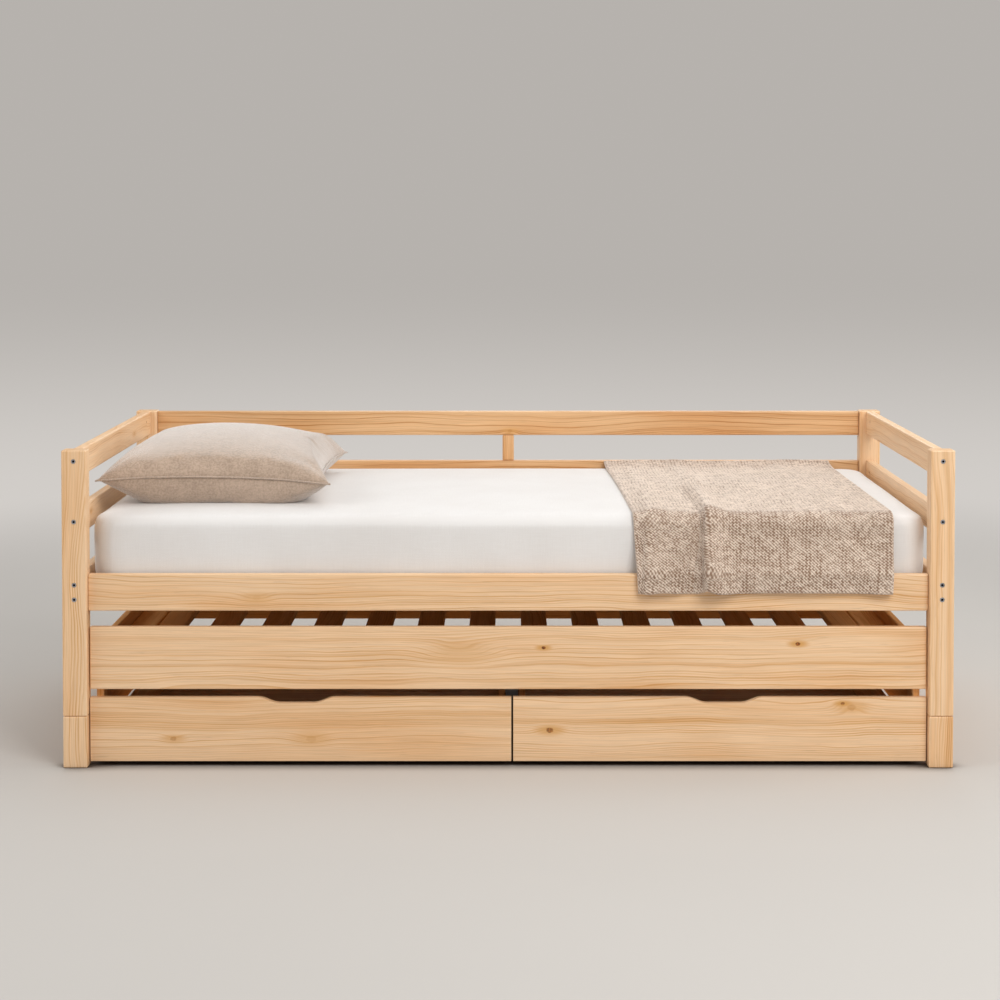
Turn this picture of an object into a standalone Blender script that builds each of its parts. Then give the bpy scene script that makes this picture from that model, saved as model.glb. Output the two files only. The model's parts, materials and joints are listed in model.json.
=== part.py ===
"""Pine daybed with guard rails on three sides, a slatted bed on wheels under it and two drawers.

Lengths are in metres, +Z is up.  The origin is on the floor at the middle of the frame, the long
side runs along X and the open front faces -Y.
"""

import math

import bmesh
import bpy
from mathutils import Matrix, Vector

# Mattress, and the room left around it in the frame
MATTRESS_LENGTH = 2.0
MATTRESS_WIDTH = 0.9
MATTRESS_THICKNESS = 0.167
MATTRESS_END_ROOM = 0.005
MATTRESS_SIDE_ROOM = 0.008
MATTRESS_CROWN = 0.006
MATTRESS_CORNER = 0.045
MATTRESS_EDGE = 0.026
MATTRESS_EDGE_STEPS = 4
MATTRESS_CORNER_STEPS = 4
MATTRESS_CROWN_RINGS = 5

# Gaps: between pieces that touch, and between soft pieces that lie on each other
PLAY = 0.0003
SOFT_PLAY = 0.0007
CUT_OVERRUN = 0.002

# Angles in degrees: edges sharper than these are eased, or stay hard on a round piece
EASE_ANGLE = 40
HARD_EDGE_ANGLE = 35

# Posts and the legs that lengthen them
POST_WIDTH = 0.058
POST_DEPTH = 0.045
POST_TOP = 0.761
POST_EDGE = 0.003
LEG_HEIGHT = 0.124
DOWEL_RADIUS = 0.005
DOWEL_LENGTH = 0.06

# Rails
RAIL_THICKNESS = 0.022
RAIL_EDGE = 0.003
FRONT_RAIL_INSET = 0.0175
BACK_RAIL_INSET = 0.0075
BED_RAIL_BOTTOM = 0.374
BED_RAIL_HEIGHT = 0.088
UPPER_RAIL_DROP = 0.001
END_UPPER_HEIGHT = 0.066
END_MIDDLE_HEIGHT = 0.065
END_MIDDLE_RISE_SHARE = 0.557
BACK_UPPER_DROP = 0.0025
BACK_UPPER_HEIGHT = 0.0685
BACK_LOWER_HEIGHT = 0.065
BACK_LOWER_RISE_SHARE = 0.552
STUB_WIDTH = 0.0325

# Bed slats and the ledges that carry them
SLAT_THICKNESS = 0.018
SLAT_WIDTH = 0.0714
SLAT_COUNT = 14
SLAT_EDGE = 0.002
SLAT_TOP = 0.43
LEDGE_HEIGHT = 0.03
LEDGE_DEPTH = 0.02
SLAT_END_ROOM = 0.002
SLAT_BED_IN = 0.0006

# Holes for the bolts: heights are measured down from the top edge of the rail that they hold
BOLT_RADIUS = 0.003
BOLT_HEAD_RADIUS = 0.00575
BOLT_HEAD_HEIGHT = 0.005
BOLT_HEAD_SINK = 0.0005
BOLT_BORE_ROOM = 0.0004
BOLT_HOLE_STEPS = 8
NUT_RADIUS = 0.005
NUT_LENGTH = 0.013
NUT_SINK = 0.0015
NUT_FROM_POST = 0.055
END_UPPER_BOLT_DROP = 0.0253
END_MIDDLE_BOLT_DROP = 0.0298
END_LOWER_BOLT_DROPS = (0.023, 0.058)
BED_RAIL_BOLT_DROPS = (0.0115, 0.0405)
BACK_UPPER_BOLT_DROP = 0.0455
BACK_LOWER_BOLT_DROP = 0.0485

# Bed on wheels
PANEL_THICKNESS = 0.018
PANEL_EDGE = 0.003
PANEL_INSET = 0.02
PANEL_END_ROOM = 0.003
TRUNDLE_PANEL_BOTTOM = 0.1845
TRUNDLE_PANEL_HEIGHT = 0.1505
TRUNDLE_BACK_ROOM = 0.03
TRUNDLE_BOARD_BOTTOM = 0.164
TRUNDLE_BOARD_TOP = 0.298
TRUNDLE_SIDE_BOTTOM = 0.09
TRUNDLE_SIDE_THICKNESS = 0.017
TRUNDLE_SIDE_INSET = 0.0123
TRUNDLE_LEG_DEPTH = 0.06
TRUNDLE_LEG_BOTTOM = 0.008
TRUNDLE_SLAT_TOP = 0.271
TRUNDLE_SLAT_WIDTH = 0.0665
TRUNDLE_SLAT_END_GAP = 0.0082
TRUNDLE_LEDGE_HEIGHT = 0.03
TRUNDLE_LEDGE_DEPTH = 0.022
END_BOARD_WIDTH = 0.0689
END_BOARD_THICKNESS = 0.013

# Wheels under the bed on wheels
TRUNDLE_WHEEL_RADIUS = 0.02
TRUNDLE_WHEEL_WIDTH = 0.016
TRUNDLE_AXLE_RADIUS = 0.004
TRUNDLE_COLLAR_WIDTH = 0.0036
TRUNDLE_AXLE_SEAT = 0.012
TRUNDLE_WHEEL_STEPS = 20
PIN_STEPS = 10

# Drawers
DRAWER_FRONT_BOTTOM = 0.011
DRAWER_FRONT_HEIGHT = 0.1536
DRAWER_SPLIT_X = 0.0097
DRAWER_SPLIT_GAP = 0.0045
DRAWER_INNER_INSET = 0.015
DRAWER_OUTER_INSET = 0.057
DRAWER_DEPTH = 0.8
DRAWER_SIDE_THICKNESS = 0.016
DRAWER_BACK_THICKNESS = 0.012
DRAWER_BOARD_BOTTOM = 0.026
DRAWER_BOARD_TOP = 0.122
DRAWER_BOTTOM_THICKNESS = 0.006
DRAWER_BOTTOM_UNDERSIDE = 0.035
GROOVE_DEPTH = 0.005
NOTCH_DEPTH = 0.014
NOTCH_FLAT = 0.08
NOTCH_RAMP = 0.053
NOTCH_RAMP_STEPS = 8
NOTCH_OUTWARDS = 0.0103

# Wheels and forks under the drawers
DRAWER_WHEEL_RADIUS = 0.015
DRAWER_WHEEL_WIDTH = 0.012
DRAWER_AXLE_RADIUS = 0.003
FORK_CHEEK = 0.002
FORK_ROOM = 0.0008
FORK_DEPTH = 0.022
FORK_BELOW_AXLE = 0.007
FORK_FROM_CORNER = 0.06
DRAWER_WHEEL_STEPS = 16

# Shared wheel shape
WHEEL_CHAMFER = 0.002
WHEEL_BORE_ROOM = 0.0004
AXLE_HEAD_WIDTH = 0.0035
AXLE_HEAD_RADIUS_SHARE = 1.9

# Pillow
PILLOW_LENGTH = 0.58
PILLOW_WIDTH = 0.68
PILLOW_FROM_FRONT = 0.505
PILLOW_FROM_LEFT = 0.343
PILLOW_SEAM_HEIGHT = 0.066
PILLOW_RISE = 0.106
PILLOW_DRAW_SHARE = 0.09
PILLOW_ROUND_SHARE = 0.55
PILLOW_CELLS = 16

# Throw: it lies over the mattress and hangs down in front of the front rail
THROW_WIDTH_BACK = 0.645
THROW_WIDTH_HEM = 0.607
THROW_FROM_RIGHT = 0.394
THROW_RISE = 0.018
THROW_THICKNESS = 0.005
THROW_HEM_HEIGHT = 0.42
THROW_PLAY = 0.0018
THROW_CELLS_ACROSS = 24
THROW_CELLS_RISE = 2
THROW_CELLS_TOP = 8
THROW_CELLS_BEND = 5
THROW_CELLS_FRONT = 8
THROW_FOLD_HEIGHT = 0.012
THROW_FOLD_FULL_SHARE = 0.6

# Worked-out stations
CLEAR_LENGTH = MATTRESS_LENGTH + 2 * MATTRESS_END_ROOM
POST_INNER_X = CLEAR_LENGTH / 2
POST_OUTER_X = POST_INNER_X + POST_WIDTH
POST_CENTRE_X = POST_INNER_X + POST_WIDTH / 2
FRAME_DEPTH = (FRONT_RAIL_INSET + BACK_RAIL_INSET + 2 * (RAIL_THICKNESS + MATTRESS_SIDE_ROOM)
               + MATTRESS_WIDTH)
FRONT_Y = -FRAME_DEPTH / 2
BACK_Y = FRAME_DEPTH / 2
FRONT_RAIL_Y = FRONT_Y + FRONT_RAIL_INSET
FRONT_RAIL_INNER_Y = FRONT_RAIL_Y + RAIL_THICKNESS
BACK_RAIL_Y = BACK_Y - BACK_RAIL_INSET
BACK_RAIL_INNER_Y = BACK_RAIL_Y - RAIL_THICKNESS
MATTRESS_Y = (FRONT_RAIL_INNER_Y + BACK_RAIL_INNER_Y) / 2
MATTRESS_BOTTOM = SLAT_TOP + PLAY
MATTRESS_TOP = MATTRESS_BOTTOM + MATTRESS_THICKNESS
BED_RAIL_TOP = BED_RAIL_BOTTOM + BED_RAIL_HEIGHT
UPPER_RAIL_TOP = POST_TOP - UPPER_RAIL_DROP
END_UPPER_BOTTOM = UPPER_RAIL_TOP - END_UPPER_HEIGHT
END_MIDDLE_ROOM = END_UPPER_BOTTOM - BED_RAIL_TOP - END_MIDDLE_HEIGHT
END_MIDDLE_TOP = BED_RAIL_TOP + END_MIDDLE_ROOM * END_MIDDLE_RISE_SHARE + END_MIDDLE_HEIGHT
BACK_UPPER_TOP = POST_TOP - BACK_UPPER_DROP
BACK_UPPER_BOTTOM = BACK_UPPER_TOP - BACK_UPPER_HEIGHT
BACK_LOWER_ROOM = BACK_UPPER_BOTTOM - BED_RAIL_TOP - BACK_LOWER_HEIGHT
BACK_LOWER_TOP = BED_RAIL_TOP + BACK_LOWER_ROOM * BACK_LOWER_RISE_SHARE + BACK_LOWER_HEIGHT
PANEL_Y = FRONT_Y + PANEL_INSET
PANEL_BACK_Y = PANEL_Y + PANEL_THICKNESS
PANEL_END_X = POST_INNER_X - PANEL_END_ROOM
SIDES = {"left": -1, "right": 1}
ENDS = {"front": -1, "back": 1}
X_AXIS = Vector((1, 0, 0))
Y_AXIS = Vector((0, 1, 0))


def clear_scene():
    """Remove what a new file holds."""
    for thing in list(bpy.data.objects):
        bpy.data.objects.remove(thing, do_unlink=True)


def new_group(name):
    """Make a collection in the scene."""
    group = bpy.data.collections.new(name)
    bpy.context.scene.collection.children.link(group)
    return group


def finish(name, colour, roughness, metallic=0.0):
    """Make a Principled material recipe; each piece gets its own copy."""
    return {"name": name, "colour": colour, "roughness": roughness, "metallic": metallic}


PINE = finish("pine", (0.70, 0.45, 0.25), 0.5)
PINE_SHADE = finish("pine_shade", (0.62, 0.39, 0.21), 0.55)
PLYWOOD = finish("plywood", (0.68, 0.5, 0.32), 0.6)
STEEL = finish("zinc_steel", (0.62, 0.62, 0.64), 0.3, 1.0)
WHEEL = finish("wheel_plastic", (0.05, 0.05, 0.055), 0.4)
SHEET = finish("cotton_sheet", (0.9, 0.88, 0.86), 0.85)
LINEN = finish("linen", (0.62, 0.54, 0.45), 0.9)
KNIT = finish("knit", (0.6, 0.48, 0.36), 0.95)


def dress(thing, recipe):
    """Give a piece its own Principled BSDF material."""
    material = bpy.data.materials.new(f"{recipe['name']}_{thing.name}")
    material.use_nodes = True
    shader = material.node_tree.nodes["Principled BSDF"]
    shader.inputs["Base Color"].default_value = (*recipe["colour"], 1.0)
    shader.inputs["Roughness"].default_value = recipe["roughness"]
    shader.inputs["Metallic"].default_value = recipe["metallic"]
    thing.data.materials.clear()
    thing.data.materials.append(material)


def world_place(thing):
    """Place of an unrotated object, summed up its chain of parents."""
    place = Vector((0, 0, 0))
    while thing is not None:
        place += thing.location
        thing = thing.parent
    return place


def add_object(name, data, group, parent=None, at=(0, 0, 0)):
    """Link a new object whose origin is at a world place."""
    thing = bpy.data.objects.new(name, data)
    group.objects.link(thing)
    thing.parent = parent
    thing.location = Vector(at) - world_place(parent)
    return thing


def add_mover(name, parent, at):
    """Add an empty that carries a moving sub-assembly."""
    mover = add_object(name, None, PIECES, parent, at)
    mover.empty_display_size = POST_DEPTH
    return mover


def add_bevel(thing, width, segments=1):
    """Ease the sharp edges of a piece."""
    bevel = thing.modifiers.new("eased_edges", "BEVEL")
    bevel.width = width
    bevel.segments = segments
    bevel.limit_method = "ANGLE"
    bevel.angle_limit = math.radians(EASE_ANGLE)


def add_boolean(thing, operand, operation):
    """Combine a piece with another shape."""
    step = thing.modifiers.new(operand.name, "BOOLEAN")
    step.operation = operation
    step.solver = "EXACT"
    step.object = operand


def add_cut(thing, cutter):
    """Subtract a cutter from a piece."""
    add_boolean(thing, cutter, "DIFFERENCE")


def add_union(thing, addition):
    """Join another shape to a piece."""
    add_boolean(thing, addition, "UNION")


def as_cutter(thing):
    """Mark an object as a cutter."""
    thing.hide_render = True
    thing.display_type = "WIRE"
    return thing


def evaluated_mesh(thing):
    """Copy of an object's mesh with its modifiers applied."""
    bpy.context.view_layer.update()
    depsgraph = bpy.context.evaluated_depsgraph_get()
    return bpy.data.meshes.new_from_object(thing.evaluated_get(depsgraph))


def smooth_round(mesh):
    """Shade round sides smooth and keep the hard edges."""
    mesh.shade_smooth()
    mesh.set_sharp_from_angle(angle=math.radians(HARD_EDGE_ANGLE))


def boards(name, spans, recipe, parent=None, ease=RAIL_EDGE, segments=2):
    """Make a piece of one or more square-edged boards, each given as x, y and z ranges."""
    centre = Vector([sum(sorted(span)) / 2 for span in spans[0]])
    if len(spans) > 1:
        centre = world_place(parent)
    mesh = bpy.data.meshes.new(name)
    bm = bmesh.new()
    for span in spans:
        middle = Vector([sum(axis) / 2 for axis in span]) - centre
        size = Matrix.Diagonal([abs(axis[1] - axis[0]) for axis in span]).to_4x4()
        bmesh.ops.create_cube(bm, size=1, matrix=Matrix.Translation(middle) @ size)
    bm.to_mesh(mesh)
    bm.free()
    thing = add_object(name, mesh, PIECES, parent, centre)
    if ease:
        add_bevel(thing, ease, segments)
    dress(thing, recipe)
    return thing


def board(name, xs, ys, zs, recipe, parent=None, ease=RAIL_EDGE, segments=2):
    """Make one square-edged board from its x, y and z ranges."""
    return boards(name, [(xs, ys, zs)], recipe, parent, ease, segments)


def turned_pattern(name, profile, steps):
    """Turn a profile of (radius, height) points, listed down its outer side, about local Z."""
    closed = profile[0][0] > 0
    mesh = bpy.data.meshes.new(name)
    corners = [(radius, 0, height) for radius, height in profile]
    edges = [(i, i + 1) for i in range(len(corners) - 1)]
    if closed:
        edges.append((len(corners) - 1, 0))
    mesh.from_pydata(corners, edges, [])
    pattern = add_object(name, mesh, CUTTERS)
    turn = pattern.modifiers.new("turned", "SCREW")
    turn.axis = "Z"
    turn.steps = steps
    turn.render_steps = steps
    turn.use_merge_vertices = True
    turn.merge_threshold = PLAY / 100
    return as_cutter(pattern)


def rod_profile(radius, length):
    """Profile of a plain rod that starts at local zero and runs up local Z."""
    return [(0, length), (radius, length), (radius, 0), (0, 0)]


def along(direction, at):
    """Matrix that lays local Z along a direction, with local X as near to world Z as it can be."""
    axis = Vector(direction).normalized()
    up = Vector((0, 0, 1)) if abs(axis.z) < 0.5 else Vector((1, 0, 0))
    across = axis.cross(up)
    turn = Matrix((up, across, axis)).transposed().to_4x4()
    return Matrix.Translation(Vector(at)) @ turn


def gather(name, pattern, places, recipe=None, parent=None, at=None):
    """Make one piece from copies of a pattern, each set by a matrix in world space."""
    origin = Vector(at) if at is not None else world_place(parent)
    source = evaluated_mesh(pattern)
    bm = bmesh.new()
    for place in places:
        copy = source.copy()
        copy.transform(Matrix.Translation(-origin) @ place)
        bm.from_mesh(copy)
        bpy.data.meshes.remove(copy)
    mesh = bpy.data.meshes.new(name)
    bm.to_mesh(mesh)
    bm.free()
    bpy.data.meshes.remove(source)
    group = PIECES if recipe else CUTTERS
    thing = add_object(name, mesh, group, parent, origin)
    smooth_round(mesh)
    if recipe is None:
        return as_cutter(thing)
    dress(thing, recipe)
    return thing


def end_rail_bolts():
    """Bolts of the end rails: where the head sits, the shank's way, and the way its nut goes in."""
    heights = [UPPER_RAIL_TOP - END_UPPER_BOLT_DROP, END_MIDDLE_TOP - END_MIDDLE_BOLT_DROP]
    heights += [BED_RAIL_TOP - drop for drop in END_LOWER_BOLT_DROPS]
    return [(Vector((sign * POST_CENTRE_X, end * BACK_Y, height)), -end * Y_AXIS, -sign * X_AXIS)
            for sign in SIDES.values() for end in ENDS.values() for height in heights]


def long_rail_bolts():
    """Bolts of the front rail and the back rails, told in the same way."""
    front_middle = FRONT_RAIL_Y + RAIL_THICKNESS / 2
    back_middle = BACK_RAIL_Y - RAIL_THICKNESS / 2
    spots = [(y, BED_RAIL_TOP - drop) for y in (front_middle, back_middle) for drop in BED_RAIL_BOLT_DROPS]
    spots.append((back_middle, BACK_UPPER_TOP - BACK_UPPER_BOLT_DROP))
    spots.append((back_middle, BACK_LOWER_TOP - BACK_LOWER_BOLT_DROP))
    return [(Vector((sign * POST_OUTER_X, y, height)), -sign * X_AXIS, Y_AXIS)
            for sign in SIDES.values() for y, height in spots]


def bolt_hole_pattern(thickness):
    """Counterbored hole for one bolt: through a post and on to its barrel nut in the rail."""
    bore = BOLT_RADIUS + BOLT_BORE_ROOM
    head = BOLT_HEAD_RADIUS + BOLT_BORE_ROOM
    seat = BOLT_HEAD_SINK + BOLT_HEAD_HEIGHT
    tip = thickness + NUT_FROM_POST
    profile = [(0, tip), (bore, tip), (bore, seat), (head, seat), (head, -CUT_OVERRUN), (0, -CUT_OVERRUN)]
    return turned_pattern("bolt_hole_pattern", profile, BOLT_HOLE_STEPS)


def bolt_holes():
    """Cutters for the end rails' bolts, the long rails' bolts and the barrel nuts of both."""
    holes = []
    nuts = []
    depth = NUT_SINK + NUT_LENGTH
    for name, bolts, thickness in (("end_rail_bolt_holes", end_rail_bolts(), POST_DEPTH),
                                   ("long_rail_bolt_holes", long_rail_bolts(), POST_WIDTH)):
        shanks = [along(way, at) for at, way, _ in bolts]
        holes.append(gather(name, bolt_hole_pattern(thickness), shanks))
        for at, way, mouth in bolts:
            centre = at + way * (thickness + NUT_FROM_POST)
            nuts.append(along(mouth, centre + mouth * (RAIL_THICKNESS / 2 - depth)))
    blind = turned_pattern("nut_hole_pattern", rod_profile(NUT_RADIUS, depth + CUT_OVERRUN), BOLT_HOLE_STEPS)
    holes.append(gather("nut_holes", blind, nuts))
    return holes


def build_frame(holes):
    """Posts, dowelled leg extensions and rails, bored for their bolts."""
    dowel = turned_pattern("dowel_pattern", rod_profile(DOWEL_RADIUS, DOWEL_LENGTH), BOLT_HOLE_STEPS)
    bore = turned_pattern("dowel_bore_pattern", rod_profile(DOWEL_RADIUS + PLAY, DOWEL_LENGTH + PLAY),
                          BOLT_HOLE_STEPS)
    for side, sign in SIDES.items():
        xs = (sign * POST_INNER_X, sign * POST_OUTER_X)
        for end, way in ENDS.items():
            ys = (way * (BACK_Y - POST_DEPTH), way * BACK_Y)
            socket = [Matrix.Translation((sign * POST_CENTRE_X, sum(ys) / 2, LEG_HEIGHT - DOWEL_LENGTH / 2))]
            post = board(f"post_{end}_{side}", xs, ys, (LEG_HEIGHT, POST_TOP), PINE, ease=POST_EDGE)
            for hole in (*holes[:2], gather(f"dowel_bore_{end}_{side}", bore, socket)):
                add_cut(post, hole)
            leg = board(f"leg_extension_{end}_{side}", xs, ys, (0, LEG_HEIGHT - PLAY), PINE, ease=POST_EDGE)
            add_union(leg, gather(f"dowel_{end}_{side}", dowel, socket))
        build_end_rails(side, sign, holes)
    build_long_rails(holes)


def build_end_rails(side, sign, holes):
    """The three rails between the front and back post of one end."""
    middle = sign * POST_CENTRE_X
    xs = (middle - RAIL_THICKNESS / 2, middle + RAIL_THICKNESS / 2)
    ys = (FRONT_Y + POST_DEPTH + PLAY, BACK_Y - POST_DEPTH - PLAY)
    heights = {"upper": (END_UPPER_BOTTOM, UPPER_RAIL_TOP),
               "middle": (END_MIDDLE_TOP - END_MIDDLE_HEIGHT, END_MIDDLE_TOP),
               "lower": (BED_RAIL_BOTTOM, BED_RAIL_TOP)}
    for level, zs in heights.items():
        rail = board(f"end_rail_{level}_{side}", xs, ys, zs, PINE)
        add_cut(rail, holes[0])
        add_cut(rail, holes[2])


def build_long_rails(holes):
    """Front rail, back rails and the stub between the two back guard rails."""
    xs = (PLAY - POST_INNER_X, POST_INNER_X - PLAY)
    back = (BACK_RAIL_INNER_Y, BACK_RAIL_Y)
    rails = {"front_bed_rail": ((FRONT_RAIL_Y, FRONT_RAIL_INNER_Y), BED_RAIL_BOTTOM, BED_RAIL_TOP),
             "back_bed_rail": (back, BED_RAIL_BOTTOM, BED_RAIL_TOP),
             "back_guard_rail_lower": (back, BACK_LOWER_TOP - BACK_LOWER_HEIGHT, BACK_LOWER_TOP),
             "back_guard_rail_upper": (back, BACK_UPPER_BOTTOM, BACK_UPPER_TOP)}
    for name, (ys, bottom, top) in rails.items():
        rail = board(name, xs, ys, (bottom, top), PINE)
        add_cut(rail, holes[1])
        add_cut(rail, holes[2])
    stub = (BACK_LOWER_TOP + PLAY, BACK_UPPER_BOTTOM - PLAY)
    board("back_guard_stub", (-STUB_WIDTH / 2, STUB_WIDTH / 2), back, stub, PINE, segments=1)


def slat_spans(row, width, ys, top):
    """Ranges of a row of slats of a width, centred on X; the row's length takes in its end slats."""
    pitch = (row - width) / (SLAT_COUNT - 1)
    first = (width - row) / 2
    return [((first + i * pitch - width / 2, first + i * pitch + width / 2), ys,
             (top - SLAT_THICKNESS, top)) for i in range(SLAT_COUNT)]


def slatted_base(name, slats, ledges, recipe, parent=None, ease=SLAT_EDGE):
    """Join slats to the two ledges that they are screwed to."""
    base = boards(name, slats, recipe, parent, ease, 1)
    carriers = as_cutter(boards(f"{name}_ledges", ledges, recipe, None, SLAT_EDGE, 1))
    PIECES.objects.unlink(carriers)
    CUTTERS.objects.link(carriers)
    add_union(base, carriers)
    return base


def build_bed_base():
    """Slats under the mattress and the ledges that carry them."""
    top = SLAT_TOP - SLAT_THICKNESS + SLAT_BED_IN
    zs = (top - LEDGE_HEIGHT, top)
    xs = (-MATTRESS_LENGTH / 2, MATTRESS_LENGTH / 2)
    front = (FRONT_RAIL_INNER_Y + PLAY, FRONT_RAIL_INNER_Y + LEDGE_DEPTH)
    back = (BACK_RAIL_INNER_Y - PLAY, BACK_RAIL_INNER_Y - LEDGE_DEPTH)
    ys = (FRONT_RAIL_INNER_Y + SLAT_END_ROOM, BACK_RAIL_INNER_Y - SLAT_END_ROOM)
    slats = slat_spans(MATTRESS_LENGTH, SLAT_WIDTH, ys, SLAT_TOP)
    slatted_base("bed_slat_base", slats, [(xs, front, zs), (xs, back, zs)], PINE_SHADE, ease=0)


def wheel_pattern(name, radius, width, axle_radius, steps):
    """A wheel with chamfered tread, turned about local Z and centred on it."""
    bore = axle_radius + WHEEL_BORE_ROOM
    half = width / 2
    profile = [(bore, half), (radius - WHEEL_CHAMFER, half), (radius, half - WHEEL_CHAMFER),
               (radius, WHEEL_CHAMFER - half), (radius - WHEEL_CHAMFER, -half), (bore, -half)]
    return turned_pattern(name, profile, steps)


def build_trundle():
    """The slatted bed on wheels, which rolls out to the front."""
    mover = add_mover("trundle_slide", None, (0, PANEL_Y, TRUNDLE_WHEEL_RADIUS))
    xs = (-PANEL_END_X, PANEL_END_X)
    panel_zs = (TRUNDLE_PANEL_BOTTOM, TRUNDLE_PANEL_BOTTOM + TRUNDLE_PANEL_HEIGHT)
    board("trundle_front", xs, (PANEL_Y, PANEL_BACK_Y), panel_zs, PINE, mover, PANEL_EDGE)
    outer = PANEL_END_X - TRUNDLE_SIDE_INSET
    inner = outer - TRUNDLE_SIDE_THICKNESS
    back_face = BACK_Y - TRUNDLE_BACK_ROOM
    back_inner = back_face - PANEL_THICKNESS
    board("trundle_back", (-outer, outer), (back_inner, back_face),
          (TRUNDLE_BOARD_BOTTOM, TRUNDLE_BOARD_TOP), PINE_SHADE, mover)
    leg_ys = {"front": (PANEL_BACK_Y + PLAY, PANEL_BACK_Y + PLAY + TRUNDLE_LEG_DEPTH),
              "back": (back_inner - PLAY - TRUNDLE_LEG_DEPTH, back_inner - PLAY)}
    axle_bores = build_trundle_wheels(mover, inner, leg_ys)
    for side, sign in SIDES.items():
        side_xs = (sign * inner, sign * outer)
        side_ys = (leg_ys["front"][1] + PLAY, leg_ys["back"][0] - PLAY)
        board(f"trundle_side_{side}", side_xs, side_ys, (TRUNDLE_SIDE_BOTTOM, TRUNDLE_BOARD_TOP),
              PINE_SHADE, mover)
        for end, ys in leg_ys.items():
            leg = board(f"trundle_leg_{end}_{side}", side_xs, ys, (TRUNDLE_LEG_BOTTOM, TRUNDLE_BOARD_TOP),
                        PINE_SHADE, mover, SLAT_EDGE, 1)
            add_cut(leg, axle_bores)
    build_trundle_base(mover, inner, back_inner)
    return mover


def build_trundle_base(mover, inner, back_inner):
    """Ledges, slats and end boards between the panels of the bed on wheels."""
    seat = TRUNDLE_SLAT_TOP - SLAT_THICKNESS + SLAT_BED_IN
    zs = (seat - TRUNDLE_LEDGE_HEIGHT, seat)
    ledge_xs = (PLAY - inner, inner - PLAY)
    front = (PANEL_BACK_Y + PLAY, PANEL_BACK_Y + PLAY + TRUNDLE_LEDGE_DEPTH)
    back = (back_inner - PLAY - TRUNDLE_LEDGE_DEPTH, back_inner - PLAY)
    ys = (PANEL_BACK_Y + SLAT_END_ROOM, back_inner - SLAT_END_ROOM)
    end_zs = (seat - SLAT_BED_IN, seat - SLAT_BED_IN + END_BOARD_THICKNESS)
    ends = [((sign * (inner - PLAY), sign * (inner - PLAY - END_BOARD_WIDTH)), ys, end_zs)
            for sign in SIDES.values()]
    row = 2 * (inner - PLAY - END_BOARD_WIDTH - TRUNDLE_SLAT_END_GAP)
    slats = slat_spans(row, TRUNDLE_SLAT_WIDTH, ys, TRUNDLE_SLAT_TOP)
    ledges = [(ledge_xs, front, zs), (ledge_xs, back, zs)]
    slatted_base("trundle_slat_base", slats + ends, ledges, PINE, mover)


def build_trundle_wheels(mover, leg_inner_x, leg_ys):
    """Wheels on axle pins in the inner faces of the legs; returns the cutter for the pins' bores."""
    collar = TRUNDLE_AXLE_RADIUS * AXLE_HEAD_RADIUS_SHARE
    wheel_room = TRUNDLE_WHEEL_WIDTH + 2 * PLAY
    seat = TRUNDLE_AXLE_SEAT
    stop = PLAY + TRUNDLE_COLLAR_WIDTH
    head = stop + wheel_room
    tip = head + AXLE_HEAD_WIDTH
    profile = [(0, tip), (collar, tip), (collar, head), (TRUNDLE_AXLE_RADIUS, head),
               (TRUNDLE_AXLE_RADIUS, stop), (collar, stop), (collar, PLAY), (TRUNDLE_AXLE_RADIUS, PLAY),
               (TRUNDLE_AXLE_RADIUS, -seat), (0, -seat)]
    pin = turned_pattern("trundle_axle_pattern", profile, PIN_STEPS)
    bore = turned_pattern("trundle_axle_bore_pattern",
                          rod_profile(TRUNDLE_AXLE_RADIUS + PLAY, seat + PLAY + CUT_OVERRUN), PIN_STEPS)
    wheel = wheel_pattern("trundle_wheel_pattern", TRUNDLE_WHEEL_RADIUS, TRUNDLE_WHEEL_WIDTH,
                          TRUNDLE_AXLE_RADIUS, TRUNDLE_WHEEL_STEPS)
    bore_places = []
    for end, ys in leg_ys.items():
        for side, sign in SIDES.items():
            at = Vector((sign * leg_inner_x, sum(ys) / 2, TRUNDLE_WHEEL_RADIUS))
            way = Vector((-sign, 0, 0))
            bore_places.append(along(way, at - way * (seat + PLAY)))
            gather(f"trundle_axle_pin_{end}_{side}", pin, [along(way, at)], STEEL, mover)
            middle = at + way * (stop + wheel_room / 2)
            gather(f"trundle_wheel_{end}_{side}", wheel, [along(way, middle)], WHEEL, mover, middle)
    return gather("trundle_axle_bores", bore, bore_places)


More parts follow.
